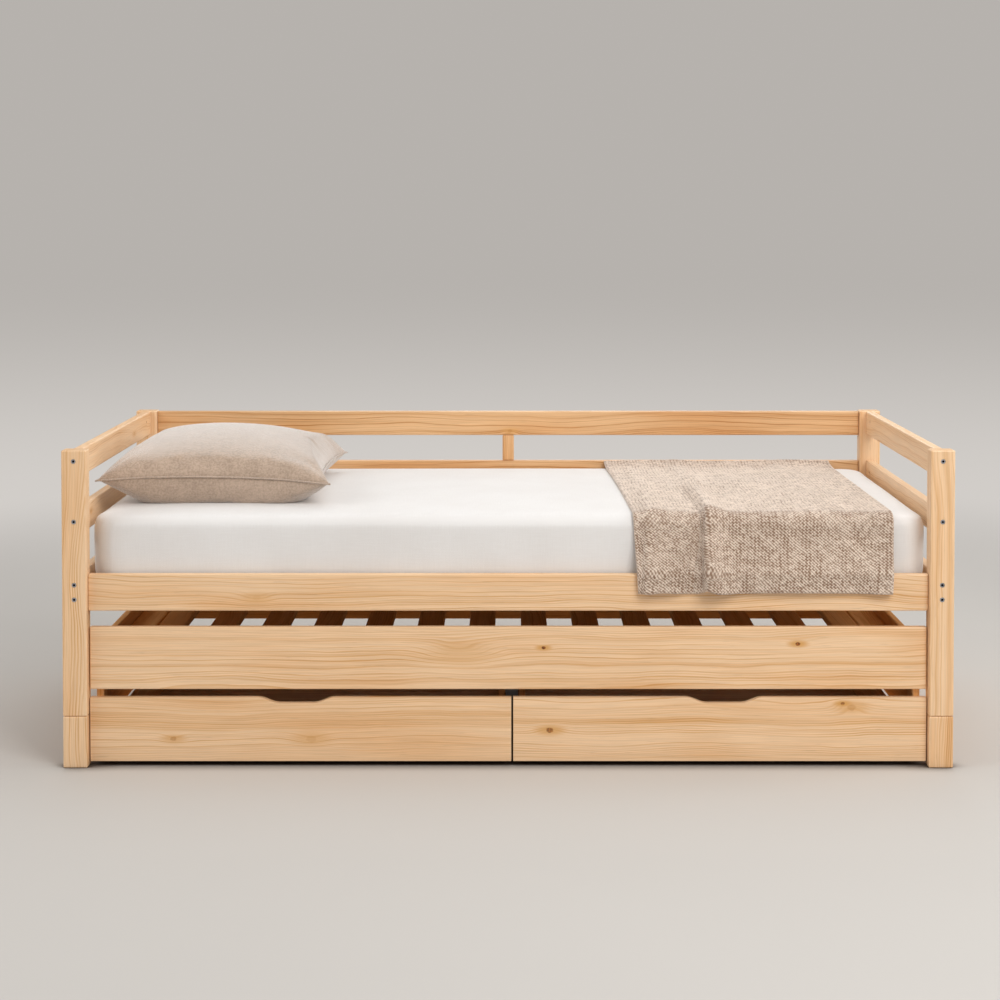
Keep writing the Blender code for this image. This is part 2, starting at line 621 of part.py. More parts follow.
def notched_front(name, low_x, high_x, notch_x, parent):
    """Drawer front with a finger notch scooped out of its top edge."""
    bottom, top = DRAWER_FRONT_BOTTOM, DRAWER_FRONT_BOTTOM + DRAWER_FRONT_HEIGHT
    ramp = []
    for step in range(NOTCH_RAMP_STEPS + 1):
        share = step / NOTCH_RAMP_STEPS
        drop = NOTCH_DEPTH * (1 - math.cos(math.pi * share)) / 2
        ramp.append((NOTCH_FLAT / 2 + NOTCH_RAMP * (1 - share), top - drop))
    outline = [(low_x, bottom), (high_x, bottom), (high_x, top)]
    outline += [(notch_x + x, z) for x, z in ramp]
    outline += [(notch_x - x, z) for x, z in reversed(ramp)]
    outline.append((low_x, top))
    centre = Vector(((low_x + high_x) / 2, PANEL_Y + PANEL_THICKNESS / 2, (bottom + top) / 2))
    curve = bpy.data.curves.new(name, "CURVE")
    curve.dimensions = "2D"
    curve.fill_mode = "BOTH"
    curve.extrude = PANEL_THICKNESS / 2
    spline = curve.splines.new("POLY")
    spline.points.add(len(outline) - 1)
    for point, (x, z) in zip(spline.points, outline):
        point.co = (x - centre.x, z - centre.z, 0, 1)
    spline.use_cyclic_u = True
    sketch = add_object(f"{name}_outline", curve, CUTTERS)
    mesh = evaluated_mesh(sketch)
    bpy.data.objects.remove(sketch, do_unlink=True)
    mesh.transform(Matrix.Rotation(math.pi / 2, 4, "X"))
    bm = bmesh.new()
    bm.from_mesh(mesh)
    bmesh.ops.remove_doubles(bm, verts=bm.verts, dist=PLAY / 10)
    bmesh.ops.recalc_face_normals(bm, faces=bm.faces)
    bm.to_mesh(mesh)
    bm.free()
    front = add_object(name, mesh, PIECES, parent, centre)
    add_bevel(front, PANEL_EDGE, 2)
    dress(front, PINE)
    return front


def build_drawer(side, sign, trundle):
    """One drawer: a box on four wheels behind a notched front."""
    name = f"drawer_{side}"
    gap_x = DRAWER_SPLIT_X + sign * DRAWER_SPLIT_GAP / 2
    inner_x = gap_x + sign * DRAWER_INNER_INSET
    outer_x = sign * (PANEL_END_X - DRAWER_OUTER_INSET)
    mover = add_mover(f"{name}_slide", trundle, ((inner_x + outer_x) / 2, PANEL_Y, DRAWER_WHEEL_RADIUS))
    low_x, high_x = sorted((gap_x, sign * PANEL_END_X))
    notch_x = (low_x + high_x) / 2 + sign * NOTCH_OUTWARDS
    front = notched_front(f"{name}_front", low_x, high_x, notch_x, mover)
    front_y = PANEL_BACK_Y + PLAY
    back_y = PANEL_BACK_Y + DRAWER_DEPTH
    zs = (DRAWER_BOARD_BOTTOM, DRAWER_BOARD_TOP)
    wall = sign * DRAWER_SIDE_THICKNESS
    walls = [board(f"{name}_side_outer", (outer_x, outer_x - wall), (front_y, back_y), zs, PINE_SHADE, mover,
                   SLAT_EDGE, 1),
             board(f"{name}_side_inner", (inner_x, inner_x + wall), (front_y, back_y), zs, PINE_SHADE, mover,
                   SLAT_EDGE, 1)]
    between = (inner_x + wall + sign * PLAY, outer_x - wall - sign * PLAY)
    walls.append(board(f"{name}_back", between, (back_y - DRAWER_BACK_THICKNESS, back_y), zs, PINE_SHADE,
                       mover, SLAT_EDGE, 1))
    tongue = sign * (GROOVE_DEPTH - PLAY)
    panel_xs = (inner_x + wall - tongue, outer_x - wall + tongue)
    panel_ys = (PANEL_BACK_Y - GROOVE_DEPTH + PLAY, back_y - DRAWER_BACK_THICKNESS + GROOVE_DEPTH - PLAY)
    panel_zs = (DRAWER_BOTTOM_UNDERSIDE, DRAWER_BOTTOM_UNDERSIDE + DRAWER_BOTTOM_THICKNESS)
    bottom = board(f"{name}_bottom", panel_xs, panel_ys, panel_zs, PLYWOOD, mover, ease=0)
    groove_xs = (panel_xs[0] - sign * PLAY, panel_xs[1] + sign * PLAY)
    groove_ys = (panel_ys[0] - PLAY, panel_ys[1] + PLAY)
    groove_zs = (panel_zs[0] - PLAY, panel_zs[1] + PLAY)
    groove = as_cutter(board(f"{name}_groove", groove_xs, groove_ys, groove_zs, PLYWOOD, ease=0))
    PIECES.objects.unlink(groove)
    CUTTERS.objects.link(groove)
    for piece in (front, *walls):
        add_cut(piece, groove)
    build_drawer_wheels(name, bottom, (inner_x + wall, outer_x - wall), (front_y, back_y))


def fork_pattern():
    """U-shaped castor fork with its riveted axle pin, around local zero at the axle."""
    half = DRAWER_WHEEL_WIDTH / 2 + FORK_ROOM + FORK_CHEEK
    top = DRAWER_BOTTOM_UNDERSIDE + PLAY - DRAWER_WHEEL_RADIUS
    fork = board("fork_pattern", (-half, half), (-FORK_DEPTH / 2, FORK_DEPTH / 2), (-FORK_BELOW_AXLE, top),
                 STEEL, ease=0)
    inner = half - FORK_CHEEK
    slot = board("fork_slot", (-inner, inner), (-FORK_DEPTH, FORK_DEPTH),
                 (-DRAWER_WHEEL_RADIUS, top - FORK_CHEEK), STEEL, ease=0)
    reach = half + AXLE_HEAD_WIDTH / 2
    pin = turned_pattern("fork_pin_pattern", rod_profile(DRAWER_AXLE_RADIUS, 2 * reach), PIN_STEPS)
    add_cut(fork, slot)
    add_union(fork, gather("fork_pin", pin, [along(X_AXIS, (-reach, 0, 0))]))
    for thing in (fork, slot):
        PIECES.objects.unlink(thing)
        CUTTERS.objects.link(as_cutter(thing))
    return fork


def build_drawer_wheels(name, bottom, xs, ys):
    """Castor forks under the bottom panel, each with its wheel."""
    wheel = wheel_pattern(f"{name}_wheel_pattern", DRAWER_WHEEL_RADIUS, DRAWER_WHEEL_WIDTH,
                          DRAWER_AXLE_RADIUS, DRAWER_WHEEL_STEPS)
    fork = fork_pattern()
    inset = FORK_FROM_CORNER
    wheel_xs = {"outer": xs[1] + (inset if xs[1] < xs[0] else -inset),
                "inner": xs[0] + (inset if xs[0] < xs[1] else -inset)}
    wheel_ys = {"front": ys[0] + inset, "back": ys[1] - inset}
    spots = []
    for end, y in wheel_ys.items():
        for place, x in wheel_xs.items():
            spot = Vector((x, y, DRAWER_WHEEL_RADIUS))
            spots.append(Matrix.Translation(spot + fork.location))
            gather(f"{name}_wheel_{end}_{place}", wheel, [along(X_AXIS, spot)], WHEEL, bottom.parent, spot)
    add_union(bottom, gather(f"{name}_forks", fork, spots))


def mattress_height(x, y):
    """Height of the mattress's top face inside its rounded edge, at a place on the bed."""
    inset = min(MATTRESS_LENGTH / 2 - abs(x), MATTRESS_WIDTH / 2 - abs(y - MATTRESS_Y))
    share = (inset - MATTRESS_EDGE) / (MATTRESS_WIDTH / 2 - MATTRESS_EDGE)
    share = min(max(share, 0), 1)
    return MATTRESS_TOP + MATTRESS_CROWN * math.sin(share * math.pi / 2)


def rounded_outline(half_x, half_y, radius, corner_steps):
    """Points of a rectangle with round corners."""
    points = []
    for quarter in range(4):
        sign_x = 1 if quarter in (0, 3) else -1
        sign_y = 1 if quarter in (0, 1) else -1
        for step in range(corner_steps + 1):
            angle = math.pi / 2 * (quarter + step / corner_steps)
            points.append((sign_x * (half_x - radius) + radius * math.cos(angle),
                           sign_y * (half_y - radius) + radius * math.sin(angle)))
    return points


def build_mattress():
    """Mattress under its fitted sheet: rounded edges and a low crown, as a stack of rings."""
    half_x, half_y = MATTRESS_LENGTH / 2, MATTRESS_WIDTH / 2
    turns = [math.pi / 2 * step / MATTRESS_EDGE_STEPS for step in range(MATTRESS_EDGE_STEPS + 1)]
    rings = [(MATTRESS_EDGE * (1 - math.sin(turn)), MATTRESS_BOTTOM + MATTRESS_EDGE * (1 - math.cos(turn)))
             for turn in turns]
    rings += [(MATTRESS_EDGE * (1 - math.cos(turn)), MATTRESS_TOP - MATTRESS_EDGE * (1 - math.sin(turn)))
              for turn in turns]
    spread = half_y - MATTRESS_EDGE
    for step in range(1, MATTRESS_CROWN_RINGS):
        inset = MATTRESS_EDGE + spread * step / MATTRESS_CROWN_RINGS
        rings.append((inset, mattress_height(0, MATTRESS_Y + half_y - inset)))
    bm = bmesh.new()
    loops = []
    for inset, height in rings:
        corner = max(MATTRESS_CORNER - inset, MATTRESS_EDGE / 2)
        outline = rounded_outline(half_x - inset, half_y - inset, corner, MATTRESS_CORNER_STEPS)
        loops.append([bm.verts.new((x, y + MATTRESS_Y, height)) for x, y in outline])
    loft(bm, loops)
    return soft_piece("mattress", bm, SHEET)


def loft(bm, loops):
    """Skin a stack of rings of equal counts and close both ends."""
    count = len(loops[0])
    for lower, upper in zip(loops, loops[1:]):
        for i in range(count):
            following = (i + 1) % count
            bm.faces.new((lower[i], lower[following], upper[following], upper[i]))
    bm.faces.new(tuple(reversed(loops[0])))
    bm.faces.new(tuple(loops[-1]))


def soft_piece(name, bm, recipe):
    """Finish a soft piece's mesh, its origin at the middle of its base."""
    bmesh.ops.recalc_face_normals(bm, faces=bm.faces)
    mesh = bpy.data.meshes.new(name)
    bm.to_mesh(mesh)
    bm.free()
    mesh.shade_smooth()
    thing = add_object(name, mesh, PIECES)
    dress(thing, recipe)
    return thing


def build_pillow():
    """Plump pillow with drawn-in sides, lying flat where it rests on the mattress."""
    centre_x = PILLOW_FROM_LEFT - POST_OUTER_X
    centre_y = FRONT_Y + PILLOW_FROM_FRONT
    bm = bmesh.new()
    shell = {}
    for i in range(PILLOW_CELLS + 1):
        for j in range(PILLOW_CELLS + 1):
            u, v = 2 * i / PILLOW_CELLS - 1, 2 * j / PILLOW_CELLS - 1
            x = centre_x + PILLOW_LENGTH / 2 * u * (1 - PILLOW_DRAW_SHARE * (1 - v * v))
            y = centre_y + PILLOW_WIDTH / 2 * v * (1 - PILLOW_DRAW_SHARE * (1 - u * u))
            base = mattress_height(x, y) + SOFT_PLAY
            seam = MATTRESS_TOP + PILLOW_SEAM_HEIGHT
            fill = ((1 - u * u) * (1 - v * v)) ** PILLOW_ROUND_SHARE
            top = bm.verts.new((x, y, seam + PILLOW_RISE * fill))
            low = top
            if fill > 0:
                low = bm.verts.new((x, y, max(base, seam - 2 * PILLOW_SEAM_HEIGHT * fill)))
            shell[i, j] = (low, top)
    for i in range(PILLOW_CELLS):
        for j in range(PILLOW_CELLS):
            ring = [shell[i, j], shell[i + 1, j], shell[i + 1, j + 1], shell[i, j + 1]]
            bm.faces.new([pair[1] for pair in ring])
            bm.faces.new([pair[0] for pair in reversed(ring)])
    return soft_piece("pillow", bm, LINEN)


def throw_path():
    """Inner side of the throw as (y, z, normal y, normal z), from its back edge to its hem."""
    inner_y = MATTRESS_Y - MATTRESS_WIDTH / 2
    flat_z = MATTRESS_TOP + THROW_PLAY
    start = BACK_RAIL_INNER_Y - SOFT_PLAY - THROW_RISE
    path = []
    for step in range(THROW_CELLS_RISE):
        angle = math.pi / 2 * (1 - step / THROW_CELLS_RISE)
        path.append((start + THROW_RISE * math.sin(angle), flat_z + THROW_RISE * (1 - math.cos(angle)),
                     -math.sin(angle), math.cos(angle)))
    bend_y = inner_y + MATTRESS_EDGE
    bend_z = MATTRESS_TOP - MATTRESS_EDGE
    reach = MATTRESS_EDGE + THROW_PLAY
    path += [(start + (bend_y - start) * i / THROW_CELLS_TOP, None, 0, 1) for i in range(THROW_CELLS_TOP)]
    for step in range(THROW_CELLS_BEND + 1):
        angle = math.pi / 2 * (1 - step / THROW_CELLS_BEND)
        path.append((bend_y - reach * math.cos(angle), bend_z + reach * math.sin(angle),
                     -math.cos(angle), math.sin(angle)))
    rail_y = FRONT_RAIL_Y - THROW_PLAY
    side_y = inner_y - THROW_PLAY
    for step in range(1, THROW_CELLS_FRONT + 1):
        z = bend_z + (THROW_HEM_HEIGHT - bend_z) * step / THROW_CELLS_FRONT
        over_rail = (bend_z - z) / (bend_z - BED_RAIL_TOP - THROW_THICKNESS)
        path.append((side_y + (rail_y - side_y) * min(over_rail, 1), z, -1, 0))
    return path


def fold_lift(along_share, across_share):
    """How far the throw stands off at a place on it: one deep fold and two soft ridges."""
    fold_shares = ((0.33, 0.27, 0.045, 1.0), (0.17, 0.12, 0.06, 0.45), (0.62, 0.68, 0.07, 0.35))
    lift = 0
    for start_share, hem_share, width_share, height_share in fold_shares:
        middle = start_share + (hem_share - start_share) * along_share
        away = (across_share - middle) / width_share
        lift += height_share * math.exp(-away * away)
    return THROW_FOLD_HEIGHT * lift * min(along_share / THROW_FOLD_FULL_SHARE, 1)


def build_throw():
    """Knitted throw with its main folds, as one sheet given its thickness outwards."""
    path = throw_path()
    bm = bmesh.new()
    rows = []
    for row, (y, z, normal_y, normal_z) in enumerate(path):
        share = row / (len(path) - 1)
        width = THROW_WIDTH_BACK + (THROW_WIDTH_HEM - THROW_WIDTH_BACK) * share
        line = []
        for column in range(THROW_CELLS_ACROSS + 1):
            across = column / THROW_CELLS_ACROSS
            x = MATTRESS_LENGTH / 2 - THROW_FROM_RIGHT + width * (across - 0.5)
            height = mattress_height(x, y) + SOFT_PLAY if z is None else z
            lift = fold_lift(share, across)
            line.append(bm.verts.new((x, y + normal_y * lift, height + normal_z * lift)))
        rows.append(line)
    for upper, lower in zip(rows, rows[1:]):
        for i in range(THROW_CELLS_ACROSS):
            bm.faces.new((upper[i], lower[i], lower[i + 1], upper[i + 1]))
    mesh = bpy.data.meshes.new("throw")
    bm.to_mesh(mesh)
    bm.free()
    mesh.shade_smooth()
    thing = add_object("throw", mesh, PIECES)
    body = thing.modifiers.new("cloth_thickness", "SOLIDIFY")
    body.thickness = THROW_THICKNESS
    body.offset = 1
    dress(thing, KNIT)
    return thing


clear_scene()
PIECES = new_group("storage_daybed")
CUTTERS = new_group("cutters")
build_frame(bolt_holes())
build_bed_base()
TRUNDLE = build_trundle()
for drawer_side, drawer_sign in SIDES.items():
    build_drawer(drawer_side, drawer_sign, TRUNDLE)
build_mattress()
build_pillow()
build_throw()
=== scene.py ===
"""Looks of the pine daybed: its boards, bolts and castors, and its mattress, pillow and throw.

Lengths are in metres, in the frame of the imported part: the origin is on the floor at the middle of
the daybed, +X runs along it and the open front faces -Y.
"""

import json
import logging
import math
from collections.abc import Iterable, Sequence
from dataclasses import dataclass
from enum import Enum

import bmesh
import bpy
import numpy as np
from mathutils import Matrix, Vector


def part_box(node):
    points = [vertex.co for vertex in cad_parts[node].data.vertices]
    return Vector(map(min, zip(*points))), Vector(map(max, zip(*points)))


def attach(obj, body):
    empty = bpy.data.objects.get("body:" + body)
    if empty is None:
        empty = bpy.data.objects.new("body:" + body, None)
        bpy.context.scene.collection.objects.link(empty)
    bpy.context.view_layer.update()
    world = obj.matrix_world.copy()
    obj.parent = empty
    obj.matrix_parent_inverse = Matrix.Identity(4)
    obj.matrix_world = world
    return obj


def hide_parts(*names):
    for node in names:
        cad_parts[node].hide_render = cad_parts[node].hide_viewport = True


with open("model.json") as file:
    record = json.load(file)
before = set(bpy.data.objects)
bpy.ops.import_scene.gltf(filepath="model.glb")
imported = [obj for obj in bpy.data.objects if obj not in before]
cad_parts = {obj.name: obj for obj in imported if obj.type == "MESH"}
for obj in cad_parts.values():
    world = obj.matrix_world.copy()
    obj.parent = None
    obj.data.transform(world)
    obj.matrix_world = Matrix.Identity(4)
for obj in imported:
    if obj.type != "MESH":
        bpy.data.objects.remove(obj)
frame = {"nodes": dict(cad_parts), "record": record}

LOG = logging.getLogger("daybed")
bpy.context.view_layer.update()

Triple = tuple[float, float, float]
Colour = Triple
Pair = tuple[float, float]
Four = tuple[float, float, float, float]
Feed = bpy.types.NodeSocket | float | Sequence[float]


# Shader graphs


class Graph:
    """Places nodes in one node tree and links them."""

    def __init__(self, tree: bpy.types.NodeTree) -> None:
        """Start on a tree.

        Args:
            tree: The node tree that takes the nodes.
        """
        self.tree = tree

    def feed(self, socket: bpy.types.NodeSocket, value: Feed) -> None:
        """Link a socket to another one, or set its constant value.

        Args:
            socket: The input that takes the value.
            value: A socket, a number or a tuple of numbers.
        """
        if isinstance(value, bpy.types.NodeSocket):
            self.tree.links.new(value, socket)
        else:
            socket.default_value = value

    def feed_all(self, node: bpy.types.Node, feeds: dict[str | int, Feed]) -> None:
        """Link or set several inputs of a node.

        Args:
            node: The node.
            feeds: What goes into its inputs, by name or by index.
        """
        for key, value in feeds.items():
            self.feed(node.inputs[key], value)

    def add(self, kind: str, feeds: dict[str | int, Feed] | None = None,
            **settings: object) -> bpy.types.Node:
        """Add a node.

        Args:
            kind: The node's Blender type.
            feeds: What goes into its inputs, by name or by index.
            **settings: The node's own options.

        Returns:
            The new node.
        """
        node = self.tree.nodes.new(kind)
        for name, value in settings.items():
            setattr(node, name, value)
        self.feed_all(node, feeds or {})
        return node

    def math(self, operation: str, *values: Feed, clamp: bool = False) -> bpy.types.NodeSocket:
        """Work out a number from up to three others.

        Args:
            operation: The Math node's operation.
            *values: Its operands.
            clamp: Whether the result stays between 0 and 1.

        Returns:
            The result's socket.
        """
        feeds = dict(enumerate(values))
        return self.add("ShaderNodeMath", feeds, operation=operation, use_clamp=clamp).outputs[0]

    def plus(self, first: Feed, second: Feed) -> bpy.types.NodeSocket:
        """The sum of two numbers."""
        return self.math("ADD", first, second)

    def times(self, first: Feed, second: Feed, clamp: bool = False) -> bpy.types.NodeSocket:
        """One number times another."""
        return self.math("MULTIPLY", first, second, clamp=clamp)

    def scaled(self, value: Feed, factor: Feed, rest: Feed, clamp: bool = False) -> bpy.types.NodeSocket:
        """A number times a factor, plus the rest."""
        return self.math("MULTIPLY_ADD", value, factor, rest, clamp=clamp)

    def vector(self, operation: str, *values: Feed) -> bpy.types.NodeSocket:
        """Work out a vector, or its length, from one or two others.

        Args:
            operation: The Vector Math node's operation.
            *values: Its operands.

        Returns:
            The result's socket.
        """
        node = self.add("ShaderNodeVectorMath", dict(enumerate(values)), operation=operation)
        return node.outputs["Value" if operation in ("LENGTH", "DOT_PRODUCT") else "Vector"]

    def split(self, vector: Feed) -> tuple[bpy.types.NodeSocket, ...]:
        """The three components of a vector."""
        return tuple(self.add("ShaderNodeSeparateXYZ", {0: vector}).outputs)

    def join(self, x: Feed, y: Feed, z: Feed) -> bpy.types.NodeSocket:
        """A vector from three components."""
        return self.add("ShaderNodeCombineXYZ", {0: x, 1: y, 2: z}).outputs[0]

    def noise(self, vector: Feed, scale: float, detail: float = 2.0) -> bpy.types.NodeSocket:
        """Smooth noise from 0 to 1.

        Args:
            vector: The place.
            scale: Features in a metre.
            detail: Octaves of finer noise.

        Returns:
            The noise's socket.
        """
        feeds = {"Vector": vector, "Scale": scale, "Detail": detail}
        return self.add("ShaderNodeTexNoise", feeds).outputs[0]

    def long_noise(self, vector: Feed, along: float, across: float, scale: float,
                   detail: float) -> bpy.types.NodeSocket:
        """Smooth noise from 0 to 1, drawn out along X.

        Args:
            vector: The place.
            along: How much X counts.
            across: How much Y and Z count.
            scale: Features in a metre where a way counts once.
            detail: Octaves of finer noise.

        Returns:
            The noise's socket.
        """
        return self.noise(self.vector("MULTIPLY", vector, (along, across, across)), scale, detail)

    def place(self) -> bpy.types.NodeSocket:
        """The place of a point in the part's frame."""
        return self.add("ShaderNodeTexCoord").outputs["Object"]

    def ramp(self, value: Feed, low: Feed, high: Feed, to_low: Feed = 0.0,
             to_high: Feed = 1.0) -> bpy.types.NodeSocket:
        """Ease from one value to another as an input goes from low to high.

        Args:
            value: The input.
            low: Where the change starts.
            high: Where it ends.
            to_low: The result at the start.
            to_high: The result at the end.

        Returns:
            The result's socket.
        """
        feeds = {0: value, 1: low, 2: high, 3: to_low, 4: to_high}
        return self.add("ShaderNodeMapRange", feeds, interpolation_type="SMOOTHSTEP").outputs[0]

    def mix(self, share: Feed, first: Feed, second: Feed, blend: str = "MIX") -> bpy.types.NodeSocket:
        """Blend two colours.

        Args:
            share: How much of the second shows.
            first: The colour beneath.
            second: The colour above.
            blend: The Mix node's blend type.

        Returns:
            The mixed colour's socket.
        """
        feeds = {0: share, 6: opaque(first), 7: opaque(second)}
        return self.add("ShaderNodeMix", feeds, data_type="RGBA", blend_type=blend).outputs[2]

    def group(self, tree: bpy.types.NodeTree, feeds: dict[str, Feed]) -> bpy.types.Node:
        """Place a node group.

        Args:
            tree: The group.
            feeds: What goes into its named inputs.

        Returns:
            The group's node.
        """
        node = self.tree.nodes.new("ShaderNodeGroup")
        node.node_tree = tree
        self.feed_all(node, feeds)
        return node


def opaque(value: Feed) -> Feed:
    """Give a colour its alpha, and leave a socket as it is.

    Args:
        value: The colour or the socket.

    Returns:
        What a colour input takes.
    """
    if isinstance(value, bpy.types.NodeSocket) or len(value) != 3:
        return value
    return (*value, 1.0)


class SocketKind(Enum):
    """Kinds of socket that a node group puts out or takes in."""

    NUMBER = "NodeSocketFloat"
    VECTOR = "NodeSocketVector"
    COLOUR = "NodeSocketColor"


NUMBER, VECTOR, COLOUR = SocketKind


class Effect:
    """A shader node group with named inputs and outputs, shared by materials."""

    def __init__(self, name: str, takes: dict[str, SocketKind], gives: dict[str, SocketKind]) -> None:
        """Make the empty group.

        Args:
            name: The group's name.
            takes: Its inputs.
            gives: Its outputs.
        """
        self.tree = bpy.data.node_groups.new(name, "ShaderNodeTree")
        for way, sockets in (("INPUT", takes), ("OUTPUT", gives)):
            for label, kind in sockets.items():
                self.tree.interface.new_socket(name=label, in_out=way, socket_type=kind.value)
        self.graph = Graph(self.tree)
        self.taken = self.tree.nodes.new("NodeGroupInput").outputs
        self.given = self.tree.nodes.new("NodeGroupOutput").inputs

    def put_out(self, **results: Feed) -> bpy.types.NodeTree:
        """Link the results to the group's outputs.

        Args:
            **results: What each output gives, its name in lower case.

        Returns:
            The finished group.
        """
        for socket in self.given:
            if socket.name.lower() in results:
                self.graph.feed(socket, results[socket.name.lower()])
        return self.tree


KNOT_LABELS = "ABC"
END_BAND = (-0.0012, -0.0004)
SLUB_DRAW = 0.06


@dataclass(frozen=True)
class KnotPattern:
    """How a knot shows on a board.

    A rim is where a change starts and ends, in radii of the knot. Another pair is a factor and what is
    added. The least radius is in metres.
    """

    least_radius: float = 0.0005
    swirl_length: float = 0.36
    core_length: float = 0.7
    ragged: Pair = (0.7, 0.65)
    swirl_fall: float = -0.16
    swirl_push: float = 2.1
    core_rim: Pair = (1.3, 0.8)
    stain_rim: Pair = (3.4, 0.8)
    stain_share: Pair = (0.5, 0.3)
    specks: Pair = (0.42, 0.62)
    black: Colour = (0.10, 0.018, 0.001)
    brown: Colour = (0.46, 0.145, 0.008)
    pale: Colour = (0.60, 0.26, 0.04)
    stain: Colour = (0.68, 0.345, 0.09)

    def effect(self) -> bpy.types.NodeTree:
        """Make the group of one knot: how it pushes growth lines aside, its core and the stain round it.

        Returns:
            The group.
        """
        effect = Effect("pine_knot", {"Point": VECTOR, "Spot": VECTOR, "Depth": NUMBER},
                        {"Lift": NUMBER, "Core": NUMBER, "Stain": NUMBER})
        graph, taken = effect.graph, effect.taken
        along, across, radius = graph.split(taken["Spot"])
        size = graph.math("MAXIMUM", radius, self.least_radius)
        flat = graph.vector("MULTIPLY", taken["Point"], (1, 1, 0))
        away = graph.vector("SUBTRACT", flat, graph.join(along, across, 0.0))
        ragged = graph.scaled(graph.noise(taken["Point"], 150, 1), *self.ragged)
        near, core = (graph.vector("LENGTH", graph.vector("MULTIPLY", away, (length, 1, 1)))
                      for length in (self.swirl_length, self.core_length))
        near = graph.math("DIVIDE", near, size)
        core = graph.times(graph.math("DIVIDE", core, size), ragged)
        fall = graph.math("EXPONENT", graph.times(graph.times(near, near), self.swirl_fall))
        lift = graph.times(graph.times(fall, radius), self.swirl_push)
        core = graph.times(graph.ramp(core, *self.core_rim), taken["Depth"], clamp=True)
        stain = graph.ramp(near, *self.stain_rim)
        stain = graph.times(stain, graph.scaled(taken["Depth"], *self.stain_share))
        return effect.put_out(lift=lift, core=core, stain=stain)

    def paint(self, graph: Graph, taken: bpy.types.bpy_prop_collection, knots: Sequence[dict[str, Feed]],
              colour: Feed) -> Feed:
        """Lay knots over a board's colour.

        Args:
            graph: The graph that takes the nodes.
            taken: The inputs of the board's group.
            knots: What the group of each knot puts out.
            colour: The board's colour.

        Returns:
            The colour with its knots.
        """
        speck = graph.ramp(graph.noise(taken["Point"], 420, 2), *self.specks)
        dark = graph.mix(speck, self.black, self.brown)
        for label, found in zip(KNOT_LABELS, knots):
            colour = graph.mix(found["Stain"], colour, self.stain)
            core = graph.mix(taken[f"Depth {label}"], self.pale, dark)
            colour = graph.mix(found["Core"], colour, core)
        return colour


def edge_effect() -> bpy.types.NodeTree:
    """Make the group that finds the edges and the ends of a board from its box.

    Returns:
        The group.
    """
    effect = Effect("board_edges", {"Point": VECTOR, "Half": VECTOR, "Width": NUMBER},
                    {"Edge": NUMBER, "End": NUMBER})
    graph, taken = effect.graph, effect.taken
    depth = graph.vector("SUBTRACT", graph.vector("ABSOLUTE", taken["Point"]), taken["Half"])
    x, y, z = graph.split(depth)
    larger = graph.math("MINIMUM", graph.math("MAXIMUM", x, y), z)
    second = graph.math("MAXIMUM", graph.math("MINIMUM", x, y), larger)
    width = graph.times(taken["Width"], -1.0)
    return effect.put_out(edge=graph.ramp(second, width, 0.0), end=graph.ramp(x, *END_BAND))


